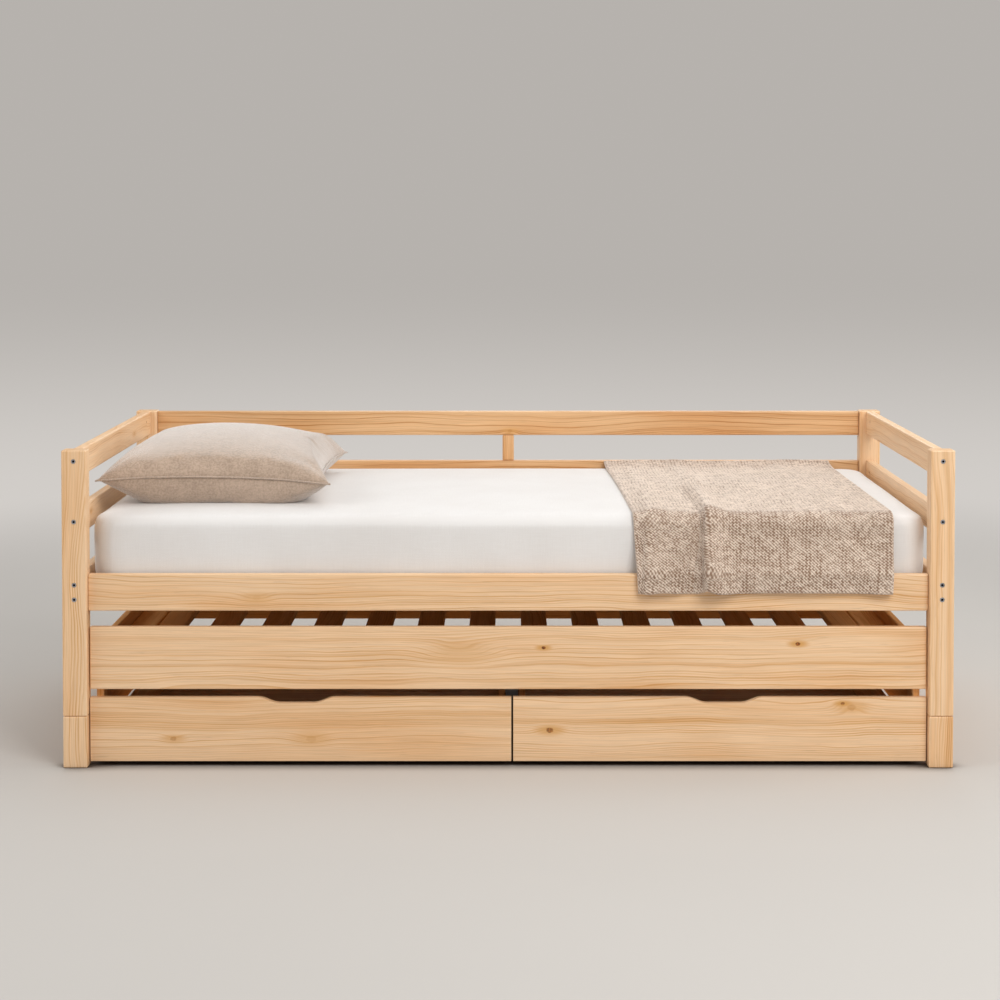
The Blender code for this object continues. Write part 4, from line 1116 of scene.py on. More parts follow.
@dataclass
class Mattress:
    """Mattress under a white fitted sheet."""

    length: float = 2.0115
    width: float = 0.9
    middle_x: float = 0.0025
    middle_y: float = 0.005
    bottom: float = 0.4303
    thickness: float = 0.167
    crown: float = 0.006
    edge: float = 0.026
    corner: float = 0.06
    cell: float = 0.012
    crown_steps: int = 12
    rim: float = 0.03
    wander: float = 0.0016
    ripple: float = 0.0006
    slack_reach: float = 0.16
    slack_start: float = 0.35
    slack_lines: float = 26.0
    slack_depth: float = 0.0010
    slack_band: float = 0.05
    slack_origin: float = 0.02
    settling: Settling = Settling(steps=8, pressure=1.2, stretch=20.0, bend=1.0, excess=0.012,
                                  most_move=0.0025)
    sheet: Cloth = Cloth("cotton_sheet", (0.82, 0.806, 0.795), (0.755, 0.73, 0.712), 0.0024, 0.00010, 330.0,
                         streaks=0.3, sheen=0.1, mottle=0.45, mottle_scale=4.0, speckle=0.06)

    @property
    def top(self) -> float:
        """Height of the top face at its rim."""
        return self.bottom + self.thickness

    def height(self, x: np.ndarray, y: np.ndarray) -> np.ndarray:
        """Height of the crowned top face inside its rounded edge.

        Args:
            x: Places along the bed.
            y: Places across it.

        Returns:
            The heights.
        """
        inset = np.minimum(self.length / 2 - np.abs(x - self.middle_x),
                           self.width / 2 - np.abs(y - self.middle_y))
        share = np.clip((inset - self.edge) / (self.width / 2 - self.edge), 0, 1)
        return self.top + self.crown * np.sin(share * math.pi / 2)

    def rings(self, edge_steps: int) -> list[Pair]:
        """Inset and height of each ring of the form, from the underside up.

        Args:
            edge_steps: Steps round each long edge.

        Returns:
            The rings.
        """
        turns = [math.pi / 2 * step / edge_steps for step in range(edge_steps + 1)]
        rings = [(self.edge * (1 - math.sin(turn)), self.bottom + self.edge * (1 - math.cos(turn)))
                 for turn in turns]
        rings += [(self.edge * (1 - math.cos(turn)), self.top - self.edge * (1 - math.sin(turn)))
                  for turn in turns]
        spread = self.width / 2 - self.edge
        for step in range(1, self.crown_steps):
            inset = self.edge + spread * step / self.crown_steps
            y = np.array([self.middle_y + self.width / 2 - inset])
            rings.append((inset, float(self.height(np.zeros(1), y)[0])))
        return rings

    def form(self, name: str, edge_steps: int, corner_steps: int) -> bpy.types.Object:
        """Skin the rings into the mattress's closed form.

        Args:
            name: The object's name.
            edge_steps: Steps round each long edge.
            corner_steps: Steps round each corner.

        Returns:
            The object.
        """
        points = []
        rings = self.rings(edge_steps)
        for inset, height in rings:
            corner = max(self.corner - inset, self.edge / 2)
            half = (self.length / 2 - inset - corner, self.width / 2 - inset - corner)
            for quarter, (sign_x, sign_y) in enumerate(((1, 1), (-1, 1), (-1, -1), (1, -1))):
                for step in range(corner_steps + 1):
                    angle = math.pi / 2 * (quarter + step / corner_steps)
                    points.append((self.middle_x + sign_x * half[0] + corner * math.cos(angle),
                                   self.middle_y + sign_y * half[1] + corner * math.sin(angle), height))
        count = 4 * (corner_steps + 1)
        faces = grid_faces(len(rings), count, ring=True)
        faces += [tuple(reversed(range(count))), tuple(range(len(points) - count, len(points)))]
        return mesh_piece(name, np.array(points), faces)

    def build(self, effects: Effects) -> bpy.types.Object:
        """Build the mattress and its sheet.

        Args:
            effects: The shared groups.

        Returns:
            The mattress.
        """
        thing = self.form(MATTRESS_PIECE, edge_steps=6, corner_steps=6)
        remesh = thing.modifiers.new("even_cells", "REMESH")
        remesh.mode = "VOXEL"
        remesh.voxel_size = self.cell
        apply_modifiers(thing)
        self.settling.run(thing)
        self.ease_sheet(thing)
        soften(thing)
        wear(thing, self.sheet.material(effects))
        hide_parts("mattress")
        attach(thing, "bed_frame")
        return thing

    def ease_sheet(self, thing: bpy.types.Object) -> None:
        """Let the sheet's sides wander a little and pull in slack lines towards its corners.

        Args:
            thing: The mattress.
        """
        points = points_of(thing.data)
        x, y, z = (points - np.array([self.middle_x, self.middle_y, 0])).T
        side_y = np.clip((np.abs(y) - self.width / 2 + self.rim) / self.rim, 0, 1)
        side_x = np.clip((np.abs(x) - self.length / 2 + self.rim) / self.rim, 0, 1)
        belly = np.sin(np.clip((z - self.bottom) / self.thickness, 0, 1) * math.pi)
        slow = smooth_noise(points, (2.2, 2.2, 3.0), 3)
        quick = smooth_noise(points * np.array([1, 1, 0.3]), (9.0, 9.0, 4.0), 4)
        out = (self.wander * slow + self.ripple * quick) * belly
        points[:, 1] += np.sign(y) * side_y * out
        points[:, 0] += np.sign(x) * side_x * out
        corner = np.hypot(np.maximum(0, np.abs(x) - (self.length / 2 - self.slack_reach)),
                          np.maximum(0, np.abs(y) - (self.width / 2 - self.slack_reach)))
        corner = np.clip(corner / self.slack_reach - self.slack_start, 0, 1)
        away = np.arctan2(self.width / 2 - np.abs(y) + self.slack_origin,
                          self.length / 2 - np.abs(x) + self.slack_origin)
        near_top = np.clip((z - self.top + self.slack_band) / self.slack_band, 0, 1)
        points[:, 2] += self.slack_depth * (np.sin(away * self.slack_lines) * corner * near_top)
        move_points(thing.data, points)


@dataclass
class Pillow:
    """Plump pillow in a piped linen cover, lying flat where it rests on the mattress."""

    mattress: Mattress
    tips: tuple[Triple, ...] = (
        (-1.016, -0.3275, 0.666), (-0.4385, -0.3275, 0.6575), (-1.004, 0.350, 0.668), (-0.452, 0.346, 0.655))
    rise: float = 0.094
    draw: float = 0.024
    plump: float = 0.37
    roundness: float = 0.52
    taper: float = 0.78
    under_lean: float = -0.01
    lean: float = 0.03
    cells: int = 72
    piping: float = 0.0021
    piping_sides: int = 8
    clearance: float = 0.0012
    seam_rise: float = 0.006
    under_depth: float = 1.9
    creases_at: tuple[Four, ...] = ((-1, -1, 0.0025, 5.0), (1, -1, 0.003, 6.0), (-1, 1, 0.003, 5.0),
                                    (1, 1, 0.008, 7.0))
    crease_ring: Pair = (0.28, 0.17)
    crease_rim: float = 0.06
    settling: Settling = Settling(steps=20, pressure=2.0, stretch=9.0, bend=0.3, excess=0.02,
                                  most_move=0.012)
    cover: Cloth = Cloth("linen_cover", (0.595, 0.445, 0.34), (0.36, 0.26, 0.185), 0.0034, 0.00026, 190.0,
                         streaks=0.16, sheen=1.0, mottle=0.28, mottle_scale=30.0, speckle=0.5)

    def shells(self) -> tuple[np.ndarray, np.ndarray]:
        """Lay out the upper and the lower cloth on a square grid.

        Returns:
            The points of each.
        """
        line = np.linspace(-1, 1, self.cells + 1)
        v, u = np.meshgrid(line, line, indexing="ij")
        shares = ((1 - u) * (1 - v) / 4, (1 + u) * (1 - v) / 4, (1 - u) * (1 + v) / 4, (1 + u) * (1 + v) / 4)
        x, y, seam = (sum(share * tip[axis] for share, tip in zip(shares, self.tips)) for axis in range(3))
        x = x - u * self.draw * (1 - v * v)
        y = y - v * self.draw * (1 - u * u)
        seam = seam + self.seam_rise * (1 - u * u) * v * v
        across = u + self.lean * (1 - u * u)
        fill = (1 - across * across) ** self.plump * (1 - v * v) ** self.roundness
        base = self.mattress.height(x, y) + self.clearance
        upper = seam + self.rise * fill + self.creases(u, v)
        under = np.clip(1 - (u + self.under_lean) ** 2, 0, 1) ** self.taper
        under = under * (1 - v * v) ** self.plump * (1 - u ** 8)
        lower = np.maximum(base, seam - self.under_depth * (self.tips[0][2] - self.mattress.top) * under)
        return np.stack([x, y, upper], axis=-1), np.stack([x, y, lower], axis=-1)

    def creases(self, u: np.ndarray, v: np.ndarray) -> np.ndarray:
        """Height of the creases that run in from the corners, deepest at the back right one.

        Args:
            u: Places from the left side to the right one, -1 to 1.
            v: Places from the front to the back, -1 to 1.

        Returns:
            How far the cloth stands above or below its plump form.
        """
        total = np.zeros_like(u)
        middle, spread = self.crease_ring
        for sign_u, sign_v, depth, turns in self.creases_at:
            in_u, in_v = 1 - sign_u * u, 1 - sign_v * v
            away = np.hypot(in_u, in_v)
            angle = np.arctan2(in_v, in_u)
            ring = np.exp(-((away - middle) / spread) ** 2)
            ring = ring * np.clip(np.minimum(in_u, in_v) / self.crease_rim, 0, 1)
            total += depth * np.sin(angle * turns + sign_u) * ring
        return total

    def build(self, effects: Effects) -> bpy.types.Object:
        """Build the pillow and the piping in its seam.

        Args:
            effects: The shared groups.

        Returns:
            The pillow.
        """
        upper, lower = self.shells()
        side = self.cells + 1
        number = np.arange(side * side).reshape(side, side)
        rim = np.zeros((side, side), bool)
        rim[0] = rim[-1] = rim[:, 0] = rim[:, -1] = True
        inner = ~rim
        below = number.copy()
        below[inner] = side * side + np.arange(int(inner.sum()))
        points = np.concatenate([upper.reshape(-1, 3), lower[inner]])
        faces = []
        for row in range(self.cells):
            for column in range(self.cells):
                cell = ((row, column), (row, column + 1), (row + 1, column + 1), (row + 1, column))
                faces.append(tuple(int(number[spot]) for spot in cell))
                faces.append(tuple(int(below[spot]) for spot in reversed(cell)))
        thing = mesh_piece("pillow_cover", points, faces)
        corners = [number[0, 0], number[0, -1], number[-1, 0], number[-1, -1]]
        self.settling.run(thing, corners)
        self.rest(thing)
        loop = [*number[0, :-1], *number[:-1, -1], *number[-1, :0:-1], *number[:0:-1, 0]]
        seam = points_of(thing.data)[np.array(loop)]
        soften(thing)
        material = self.cover.material(effects)
        wear(thing, material)
        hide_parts("pillow")
        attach(thing, "bed_frame")
        welt = tube("pillow_piping", seam, self.piping, self.piping_sides)
        wear(welt, material)
        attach(welt, "bed_frame")
        return thing

    def rest(self, thing: bpy.types.Object) -> None:
        """Keep the pillow on top of the mattress.

        Args:
            thing: The pillow.
        """
        points = points_of(thing.data)
        x, y, _ = points.T
        points[:, 2] = np.maximum(points[:, 2], self.mattress.height(x, y) + self.clearance)
        move_points(thing.data, points)


def tube(name: str, path: np.ndarray, radius: float, sides: int) -> bpy.types.Object:
    """Sweep a round section along a closed path.

    Args:
        name: The object's name.
        path: Points of the path.
        radius: The section's radius.
        sides: Corners of the section.

    Returns:
        The tube.
    """
    ahead = np.roll(path, -1, axis=0) - np.roll(path, 1, axis=0)
    ahead /= np.linalg.norm(ahead, axis=1)[:, None]
    right = np.cross(ahead, (0, 0, 1))
    right /= np.linalg.norm(right, axis=1)[:, None]
    up = np.cross(right, ahead)
    angles = np.linspace(0, 2 * math.pi, sides, endpoint=False)
    ring = np.cos(angles)[None, :, None] * right[:, None] + np.sin(angles)[None, :, None] * up[:, None]
    points = path[:, None] + radius * ring
    points = np.concatenate([points, points[:1]])
    rows = len(path)
    faces = [(row * sides + i, row * sides + (i + 1) % sides, (row + 1) % rows * sides + (i + 1) % sides,
              (row + 1) % rows * sides + i) for row in range(rows) for i in range(sides)]
    return mesh_piece(name, points[:-1], faces)


@dataclass(frozen=True)
class Fold:
    """A ridge or hollow of the throw, given at each of its stops."""

    places: tuple[float, ...]
    heights: tuple[float, ...]
    left: tuple[float, ...]
    right: tuple[float, ...]
    stops: tuple[float, ...] = (0.0, 0.5, 0.85, 1.1, 1.4, 1.7, 2.0)

    def lift(self, x: np.ndarray, stage: np.ndarray) -> np.ndarray:
        """How far it lifts the cloth.

        Args:
            x: Places along the bed.
            stage: Places on the way from the back edge, 0, over the bed's edge, 1, to the hem, 2.

        Returns:
            The lift.
        """
        place, height, left, right = (np.interp(stage, self.stops, part)
                                      for part in (self.places, self.heights, self.left, self.right))
        away = x - place
        return height * np.exp(-(away / np.where(away < 0, left, right)) ** 2)


@dataclass(frozen=True)
class Stitches:
    """Where the yarn of a chunky knit stands high: short slanting strands, with holes between them.

    A sway is its reach in metres, its turns over the other way, where it starts and its turns over its own
    way; turns are radians in a metre. A chance is how much a stitch's row and column count, and what
    spreads the result. The slips are how far two chances shift a strand, and the openings what is added to
    the chances of a stitch, a patch and a run. Another pair is a factor and what is added.
    """

    wide: float = 0.0088
    tall: float = 0.0074
    sways_across: tuple[Four, ...] = ((0.0016, 19, 0, 5), (0.0010, 61, 0, 33))
    sways_along: tuple[Four, ...] = ((0.0015, 17, 1, 7), (0.0010, 73, 0, 29))
    chances: tuple[Triple, ...] = ((12.9898, 78.233, 43758.5453), (39.3468, 11.135, 24634.6345),
                                   (7.913, 51.73, 9173.1337))
    run_rows: int = 6
    patch_turns: Four = (41, 23, 37, 29)
    slips: Pair = (0.42, 0.2)
    strand_fall: float = 0.8
    nick: Pair = (0.55, 0.2)
    nick_fall: int = 3
    hole: float = 0.0033
    hole_slant: float = 0.35
    hole_reach: float = 1.25
    openings: Triple = (0.3, 0.3, 0.5)
    stand: Pair = (0.36, 0.66)
    hollow: float = 0.06

    def heights(self, u: np.ndarray, v: np.ndarray) -> np.ndarray:
        """How high the yarn stands.

        Args:
            u: Distances across the throw from its right edge, measured over the folds of each row.
            v: Distances along it, as a column.

        Returns:
            The heights, from 0 in a hollow to about 1 on a stitch.
        """
        sway_u, sway_v = u, v
        for reach, turns, phase, own_turns in self.sways_across:
            sway_u = sway_u + reach * np.sin(v * turns + phase + u * own_turns)
        for reach, turns, phase, own_turns in self.sways_along:
            sway_v = sway_v + reach * np.sin(u * turns + phase + v * own_turns)
        at_u, at_v = sway_u / self.wide, sway_v / self.tall
        column, row = np.round(at_u), np.round(at_v)
        rows = (row, row, np.round(at_v / self.run_rows))
        chance, other, run = (scatter(number * by_row + column * by_column, spread)
                              for number, (by_row, by_column, spread) in zip(rows, self.chances))
        slip, slip_too = self.slips
        along = at_v - at_u + slip * (other - 0.5) + slip_too * (chance - 0.5)
        strand = np.abs(np.sin(math.pi * along)) ** self.strand_fall
        factor, added = self.nick
        nick = (added + factor * chance) * np.abs(np.sin(math.pi * (at_u + at_v))) ** self.nick_fall
        factor, added = self.stand
        raised = self.hollow + (added + factor * other) * (strand * (1 - nick))
        in_u, in_v = (at_u - column) * self.wide, (at_v - row) * self.tall
        away = np.hypot(in_u - self.hole_slant * in_v, in_v - self.hole_slant * in_u)
        hole = np.clip(self.hole_reach - away / self.hole, 0, 1)
        return raised * (1 - hole * self.open_share(u, v, chance, run))

    def open_share(self, u: np.ndarray, v: np.ndarray, chance: np.ndarray, run: np.ndarray) -> np.ndarray:
        """How open the knit is: by stitch, by patch and by upright run of stitches.

        Args:
            u: Distances across the throw.
            v: Distances along it.
            chance: A chance of each stitch.
            run: A chance of each run.

        Returns:
            The shares, 0 to 1.
        """
        over_u, turned_v, over_v, turned_u = self.patch_turns
        in_rows = np.sin(u * over_u + 2 * np.sin(v * turned_v))
        in_columns = np.sin(v * over_v + 2 * np.sin(u * turned_u))
        patch = 0.5 + 0.5 * in_rows * in_columns
        by_stitch, by_patch, by_run = self.openings
        return np.clip((by_stitch + chance) * (by_patch + patch) * (by_run + run), 0, 1)


@dataclass
class Throw:
    """Chunky knitted throw over the mattress, turned up at the back rail and hanging over the front rail.

    A stage is how far a point is on the way from the back edge, 0, over the bed's edge, 1, to the hem, 2.
    """

    mattress: Mattress
    width_back: float = 0.645
    width_hem: float = 0.607
    middle_x: float = 0.606
    back_y: float = 0.4623
    rise: float = 0.013
    run_up: float = 0.15
    rail_y: float = -0.475
    rail_top: float = 0.462
    hem_z: float = 0.42
    play: float = 0.0018
    stand_off: float = 0.0045
    stand_off_ramp: Pair = (1.4, -0.4)
    lean: float = 0.55
    thickness: float = 0.0036
    path_steps: tuple[int, int, int, int] = (12, 40, 12, 24)
    shifts: Triple = (-0.0095, 0.007, 0.008)
    uneven: float = 0.0016
    uneven_stretch: float = 3.0
    uneven_waves: Pair = (0.9, 0.8)
    uneven_seed: int = 11
    uneven_rise: float = 4.0
    fold_lean_from: float = 0.008
    hem_lifts_from: float = 1.25
    cell: float = 0.009
    held_every: int = 6
    fine: Pair = (0.00145, 0.00145)
    stitch_relief: float = 0.0028
    hem_half: float = 0.007
    hem_bulk: float = 0.0016
    rim: float = 0.004
    back_step: int = 4
    settling: Settling = Settling(steps=14, gravity=1.0, stretch=25.0, bend=8.0, most_move=0.004)
    knit: Knit = Knit()
    stitches: Stitches = Stitches()
    folds: tuple[Fold, ...] = (
        Fold((0.470, 0.478, 0.486, 0.486, 0.486, 0.490, 0.496),
             (0.004, 0.008, 0.013, 0.020, 0.029, 0.033, 0.032),
             (0.028, 0.023, 0.018, 0.015, 0.016, 0.020, 0.024),
             (0.036, 0.034, 0.030, 0.028, 0.031, 0.034, 0.036)),
        Fold((0.440, 0.447, 0.455, 0.459, 0.453, 0.437, 0.434),
             (0.0, -0.002, -0.004, -0.008, -0.010, -0.010, -0.008),
             (0.014, 0.014, 0.014, 0.014, 0.015, 0.016, 0.016),
             (0.014, 0.014, 0.012, 0.009, 0.010, 0.012, 0.014)),
        Fold((0.420, 0.412, 0.408, 0.406, 0.404, 0.396, 0.392), (0.002,) * 7,
             (0.024, 0.024, 0.022, 0.020, 0.020, 0.020, 0.020),
             (0.024, 0.024, 0.022, 0.020, 0.020, 0.020, 0.020)),
        Fold((0.352, 0.348, 0.344, 0.342, 0.342, 0.340, 0.340),
             (0.002, 0.004, 0.008, 0.012, 0.015, 0.016, 0.016),
             (0.030, 0.028, 0.024, 0.020, 0.019, 0.019, 0.019),
             (0.034, 0.036, 0.040, 0.046, 0.050, 0.048, 0.046)),
        Fold((0.80, 0.76, 0.74, 0.72, 0.71, 0.70, 0.70), (0.004, 0.003, 0.003, 0.003, 0.003, 0.004, 0.005),
             (0.07, 0.07, 0.07, 0.08, 0.08, 0.09, 0.09), (0.07, 0.07, 0.07, 0.08, 0.08, 0.09, 0.09)),
        Fold((0.90, 0.90, 0.90, 0.905, 0.905, 0.90, 0.895), (0.0, 0.0, 0.001, 0.003, 0.005, 0.008, 0.011),
             (0.03, 0.03, 0.03, 0.03, 0.03, 0.03, 0.035), (0.03, 0.03, 0.03, 0.03, 0.03, 0.03, 0.03)),
    )
    hem_lifts: tuple[Triple, ...] = ((0.487, 0.020, 0.010), (0.368, 0.026, 0.003), (0.70, 0.12, 0.002))

    def path(self, spacing: float) -> np.ndarray:
        """Points of the throw's inner side from its back edge to its hem, evenly spaced.

        Args:
            spacing: Distance between points.

        Returns:
            Rows of y, z, way y, way z and the share of the way to the bed's edge and on to the hem, 0 to 2.
        """
        bed_front = self.mattress.middle_y - self.mattress.width / 2
        bend_y = bed_front + self.mattress.edge
        bend_z = self.mattress.top - self.mattress.edge
        flat_z = self.mattress.top + self.play
        reach = self.mattress.edge + self.play
        up, flat, bend, hang = self.path_steps
        corners = [(self.back_y - self.run_up * step / up, flat_z + self.rise * (1 - step / up) ** 2)
                   for step in range(up)]
        corners += [(self.back_y - self.run_up + (bend_y - self.back_y + self.run_up) * step / flat, flat_z)
                    for step in range(flat)]
        middle = len(corners) + bend // 2
        for step in range(bend + 1):
            turn = math.pi / 2 * (1 - step / bend)
            corners.append((bend_y - reach * math.cos(turn), bend_z + reach * math.sin(turn)))
        side_y, rail_y = bed_front - self.play, self.rail_y - self.play
        for step in range(1, hang + 1):
            z = bend_z + (self.hem_z - bend_z) * step / hang
            share = np.clip((bend_z - z) / (bend_z - self.rail_top - self.thickness), 0, 1)
            corners.append((side_y + (rail_y - side_y) * share ** 1.5, z))
        line = np.array(corners)
        walked = np.concatenate([[0], np.cumsum(np.linalg.norm(np.diff(line, axis=0), axis=1))])
        count = int(round(walked[-1] / spacing))
        at = np.linspace(0, walked[-1], count + 1)
        y, z = (np.interp(at, walked, line[:, axis]) for axis in (0, 1))
        ahead = np.gradient(np.stack([y, z], axis=1), axis=0)
        ahead /= np.linalg.norm(ahead, axis=1)[:, None]
        edge = walked[middle]
        stage = np.where(at < edge, at / edge, 1 + (at - edge) / (walked[-1] - edge))
        return np.column_stack([y, z, ahead[:, 1], -ahead[:, 0], stage])

    def drape(self) -> np.ndarray:
        """Lay the plain cloth over the bed, before it settles and folds.

        Returns:
            A grid of points, rows from the back edge to the hem.
        """
        path = self.path(self.cell)
        columns = int(round(self.width_back / self.cell))
        across = np.linspace(-0.5, 0.5, columns + 1)
        y, z, way_y, way_z, stage = (part[:, None] for part in path.T)
        width = self.width_back + (self.width_hem - self.width_back) * np.clip(stage / 2, 0, 1)
        shift = np.interp(stage, (0, 1, 2), self.shifts)
        x = self.middle_x + shift + width * across[None, :]
        factor, added = self.stand_off_ramp
        lift = self.stand_off * np.clip(stage * factor + added, 0, 1) + np.zeros_like(x)
        flat = np.stack([x.ravel() * self.uneven_stretch, np.repeat(stage.ravel(), columns + 1)], axis=1)
        uneven = self.uneven * (1 + smooth_noise(flat, self.uneven_waves, self.uneven_seed).reshape(x.shape))
        lift += uneven * np.clip(stage * self.uneven_rise, 0, 1)
        crown = self.mattress.height(x, np.broadcast_to(y, x.shape)) - self.mattress.top
        lift = np.maximum(lift, 0) + crown * np.clip((way_z - 0.5) * 2, 0, 1)
        return np.stack([x, y + way_y * lift, z + way_z * lift], axis=-1)

    def build(self, effects: Effects) -> bpy.types.Object:
        """Build the throw.

        Args:
            effects: The shared groups.

        Returns:
            The throw.
        """
        grid = self.drape()
        rows, columns, _ = grid.shape
        cloth = mesh_piece("throw_cloth", grid, grid_faces(rows, columns))
        bumpers = [self.mattress.form("mattress_bumper", edge_steps=5, corner_steps=4), self.rail_bumper()]
        held = list(range(columns * 2))
        held += [row * columns + column for row in range(0, rows // 2, self.held_every)
                 for column in range(0, columns, self.held_every)]
        self.settling.run(cloth, held, bumpers)
        settled = points_of(cloth.data).reshape(rows, columns, 3)
        for helper in (cloth, *bumpers):
            bpy.data.objects.remove(helper, do_unlink=True)
        stage = np.repeat(self.path(self.cell)[:, 4:5, None], columns, axis=1)
        fine = self.finer(np.concatenate([self.keep_outside(settled), stage], axis=2))
        folded = self.fold(fine[..., :3], fine[..., 3])
        thing = self.knit_cloth(folded)
        wear(thing, self.knit.material(effects))
        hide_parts("throw")
        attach(thing, "bed_frame")
        length = float(np.linalg.norm(np.diff(folded, axis=0), axis=2).sum(axis=0).mean())
        width = float(np.linalg.norm(np.diff(folded, axis=1), axis=2).sum(axis=1).mean())
        LOG.info("throw: %.3f m wide and %.3f m long over its folds", width, length)
        return thing

    def rail_bumper(self) -> bpy.types.Object:
        """Make the plain board that stands for the front rail while the throw settles.

        Returns:
            The board.
        """
        low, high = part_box("front_bed_rail")
        shape = bmesh.new()
        size = Matrix.Diagonal(high - low).to_4x4()
        bmesh.ops.create_cube(shape, size=1.0, matrix=Matrix.Translation((low + high) / 2) @ size)
        return shape_piece("rail_bumper", shape)

    def keep_outside(self, grid: np.ndarray) -> np.ndarray:
        """Push points that sank into the mattress or the rail back out to their faces.

        Args:
            grid: The settled points.

        Returns:
            The same points, none inside what they lie on.
        """
        x, y, z = (grid[..., axis] for axis in range(3))
        front = self.mattress.middle_y - self.mattress.width / 2
        on_top = y > front + self.mattress.edge
        z = np.where(on_top, np.maximum(z, self.mattress.height(x, y) + self.play), z)
        centre_y, centre_z = front + self.mattress.edge, self.mattress.top - self.mattress.edge
        away = np.hypot(y - centre_y, z - centre_z)
        round_part = (~on_top) & (z > centre_z)
        share = (self.mattress.edge + self.play) / np.maximum(away, 1e-6)
        grow = np.where(round_part, np.maximum(1, share), 1)
        y = np.where(round_part, centre_y + (y - centre_y) * grow, y)
        z = np.where(round_part, centre_z + (z - centre_z) * grow, z)
        low = (~on_top) & (z <= centre_z)
        limit = np.where(z < self.rail_top + 0.004, self.rail_y - self.play, front - self.play)
        y = np.where(low, np.minimum(y, limit), y)
        return np.stack([x, y, z], axis=-1)

    def finer(self, grid: np.ndarray) -> np.ndarray:
        """Refine a grid of points smoothly, to the spacing that shows stitches.

        Args:
            grid: The settled points.

        Returns:
            The finer grid.
        """
        for axis, fine in enumerate(self.fine):
            grid = np.moveaxis(grid, axis, 0)
            steps = len(grid) - 1
            fine_steps = max(4, int(round(steps * self.cell / fine / 4)) * 4)
            at = np.linspace(0, steps, fine_steps + 1)
            low = np.minimum(at.astype(int), steps - 1)
            t = (at - low)[:, None, None]
            padded = np.concatenate([2 * grid[:1] - grid[1:2], grid, 2 * grid[-1:] - grid[-2:-1]])
            a, b, c, d = (padded[low + i] for i in range(4))
            grid = 0.5 * (2 * b + (c - a) * t + (2 * a - 5 * b + 4 * c - d) * t ** 2
                          + (3 * b - a - 3 * c + d) * t ** 3)
            grid = np.moveaxis(grid, 0, axis)
        return grid

    def fold(self, grid: np.ndarray, stage: np.ndarray) -> np.ndarray:
        """Raise the folds along the cloth's own outward way, lean the tall ones to the left and lift the hem.

        Args:
            grid: The fine points.
            stage: How far on the way to the bed's edge and the hem each point is.

        Returns:
            The folded points, none inside what they lie on.
        """
        x = grid[..., 0]
        lift = sum(fold.lift(x, stage) for fold in self.folds)
        folded = grid + self.outward(grid) * np.maximum(lift, -self.stand_off)[..., None]
        leaning = np.maximum(lift - self.fold_lean_from, 0)
        folded[..., 0] -= self.lean * leaning * np.clip(stage * 2 - 1, 0, 1)
        for place, spread, height in self.hem_lifts:
            share = np.clip((stage - self.hem_lifts_from) / (2 - self.hem_lifts_from), 0, 1) ** 2
            folded[..., 2] += height * share * np.exp(-((x - place) / spread) ** 2)
        return self.keep_outside(folded)

    def outward(self, grid: np.ndarray) -> np.ndarray:
        """Find the way that looks away from the bed at each point of a grid.

        Args:
            grid: The points.

        Returns:
            The ways, each of length 1.
        """
        normal = np.cross(np.gradient(grid, axis=1), np.gradient(grid, axis=0))
        normal *= -1 if normal[len(grid) // 4, grid.shape[1] // 2, 2] < 0 else 1
        return normal / np.linalg.norm(normal, axis=2)[..., None]

    def knit_cloth(self, inner: np.ndarray) -> bpy.types.Object:
        """Raise the stitches over the fine grid and close the cloth with a plainer back and a thick hem.

        Args:
            inner: Points of the cloth's inner side.

        Returns:
            The throw.
        """
        rows, columns, _ = inner.shape
        normal = self.outward(inner)
        paces = np.linalg.norm(np.diff(inner, axis=0), axis=2).mean(axis=1)
        v = np.concatenate([[0], np.cumsum(paces)])[:, None]
        u = np.cumsum(np.linalg.norm(np.diff(inner, axis=1, prepend=inner[:, :1]), axis=2), axis=1)
        border = np.minimum(np.minimum(u, u[:, -1:] - u), np.minimum(v, v[-1:] - v))
        loops = self.stitches.heights(u - u[:, -1:], v)
        hem = np.clip(1 - np.abs(border - self.hem_half) / self.hem_half, 0, 1) ** 0.5
        edge = np.clip(border / self.rim, 0, 1) ** 0.5
        body = self.thickness * (0.5 + 0.5 * edge) + self.hem_bulk * hem
        body = body + self.stitch_relief * loops * (1 - 0.35 * hem) * edge
        outer = inner + normal * body[..., None]
        step = self.back_step
        back = inner[::step, ::step]
        back_rows, back_columns, _ = back.shape
        points = np.concatenate([outer.reshape(-1, 3), back.reshape(-1, 3)])
        first = rows * columns
        faces = [tuple(reversed(face)) for face in grid_faces(rows, columns)]
        faces += grid_faces(back_rows, back_columns, first)
        for column in range(back_columns - 1):
            for row, fine_row in ((0, 0), (back_rows - 1, rows - 1)):
                fine = [fine_row * columns + column * step + i for i in range(step + 1)]
                coarse = [first + row * back_columns + column + 1, first + row * back_columns + column]
                faces.append(tuple(fine + coarse) if row == 0 else tuple(reversed(fine + coarse)))
        for row in range(back_rows - 1):
            for column, fine_column in ((0, 0), (back_columns - 1, columns - 1)):
                fine = [(row * step + i) * columns + fine_column for i in range(step + 1)]
                coarse = [first + (row + 1) * back_columns + column, first + row * back_columns + column]
                faces.append(tuple(reversed(fine + coarse)) if column == 0 else tuple(fine + coarse))
        thing = mesh_piece("throw_knitted", points, faces)
        # How high the yarn stands; the knit material paints shade from it in the hollows.
        stand = thing.data.attributes.new(STITCH, "FLOAT", "POINT")
        shown = (loops * edge + (1 - edge) * 0.5).ravel()
        values = np.concatenate([shown, np.full(back_rows * back_columns, 0.6)])
        stand.data.foreach_set("value", values.astype(np.float32))
        return thing


# Rigid pieces


class Timber(Enum):
    """The two grades of board on the daybed."""

    SHOWN = "pine"
    INNER = "pine_inner"


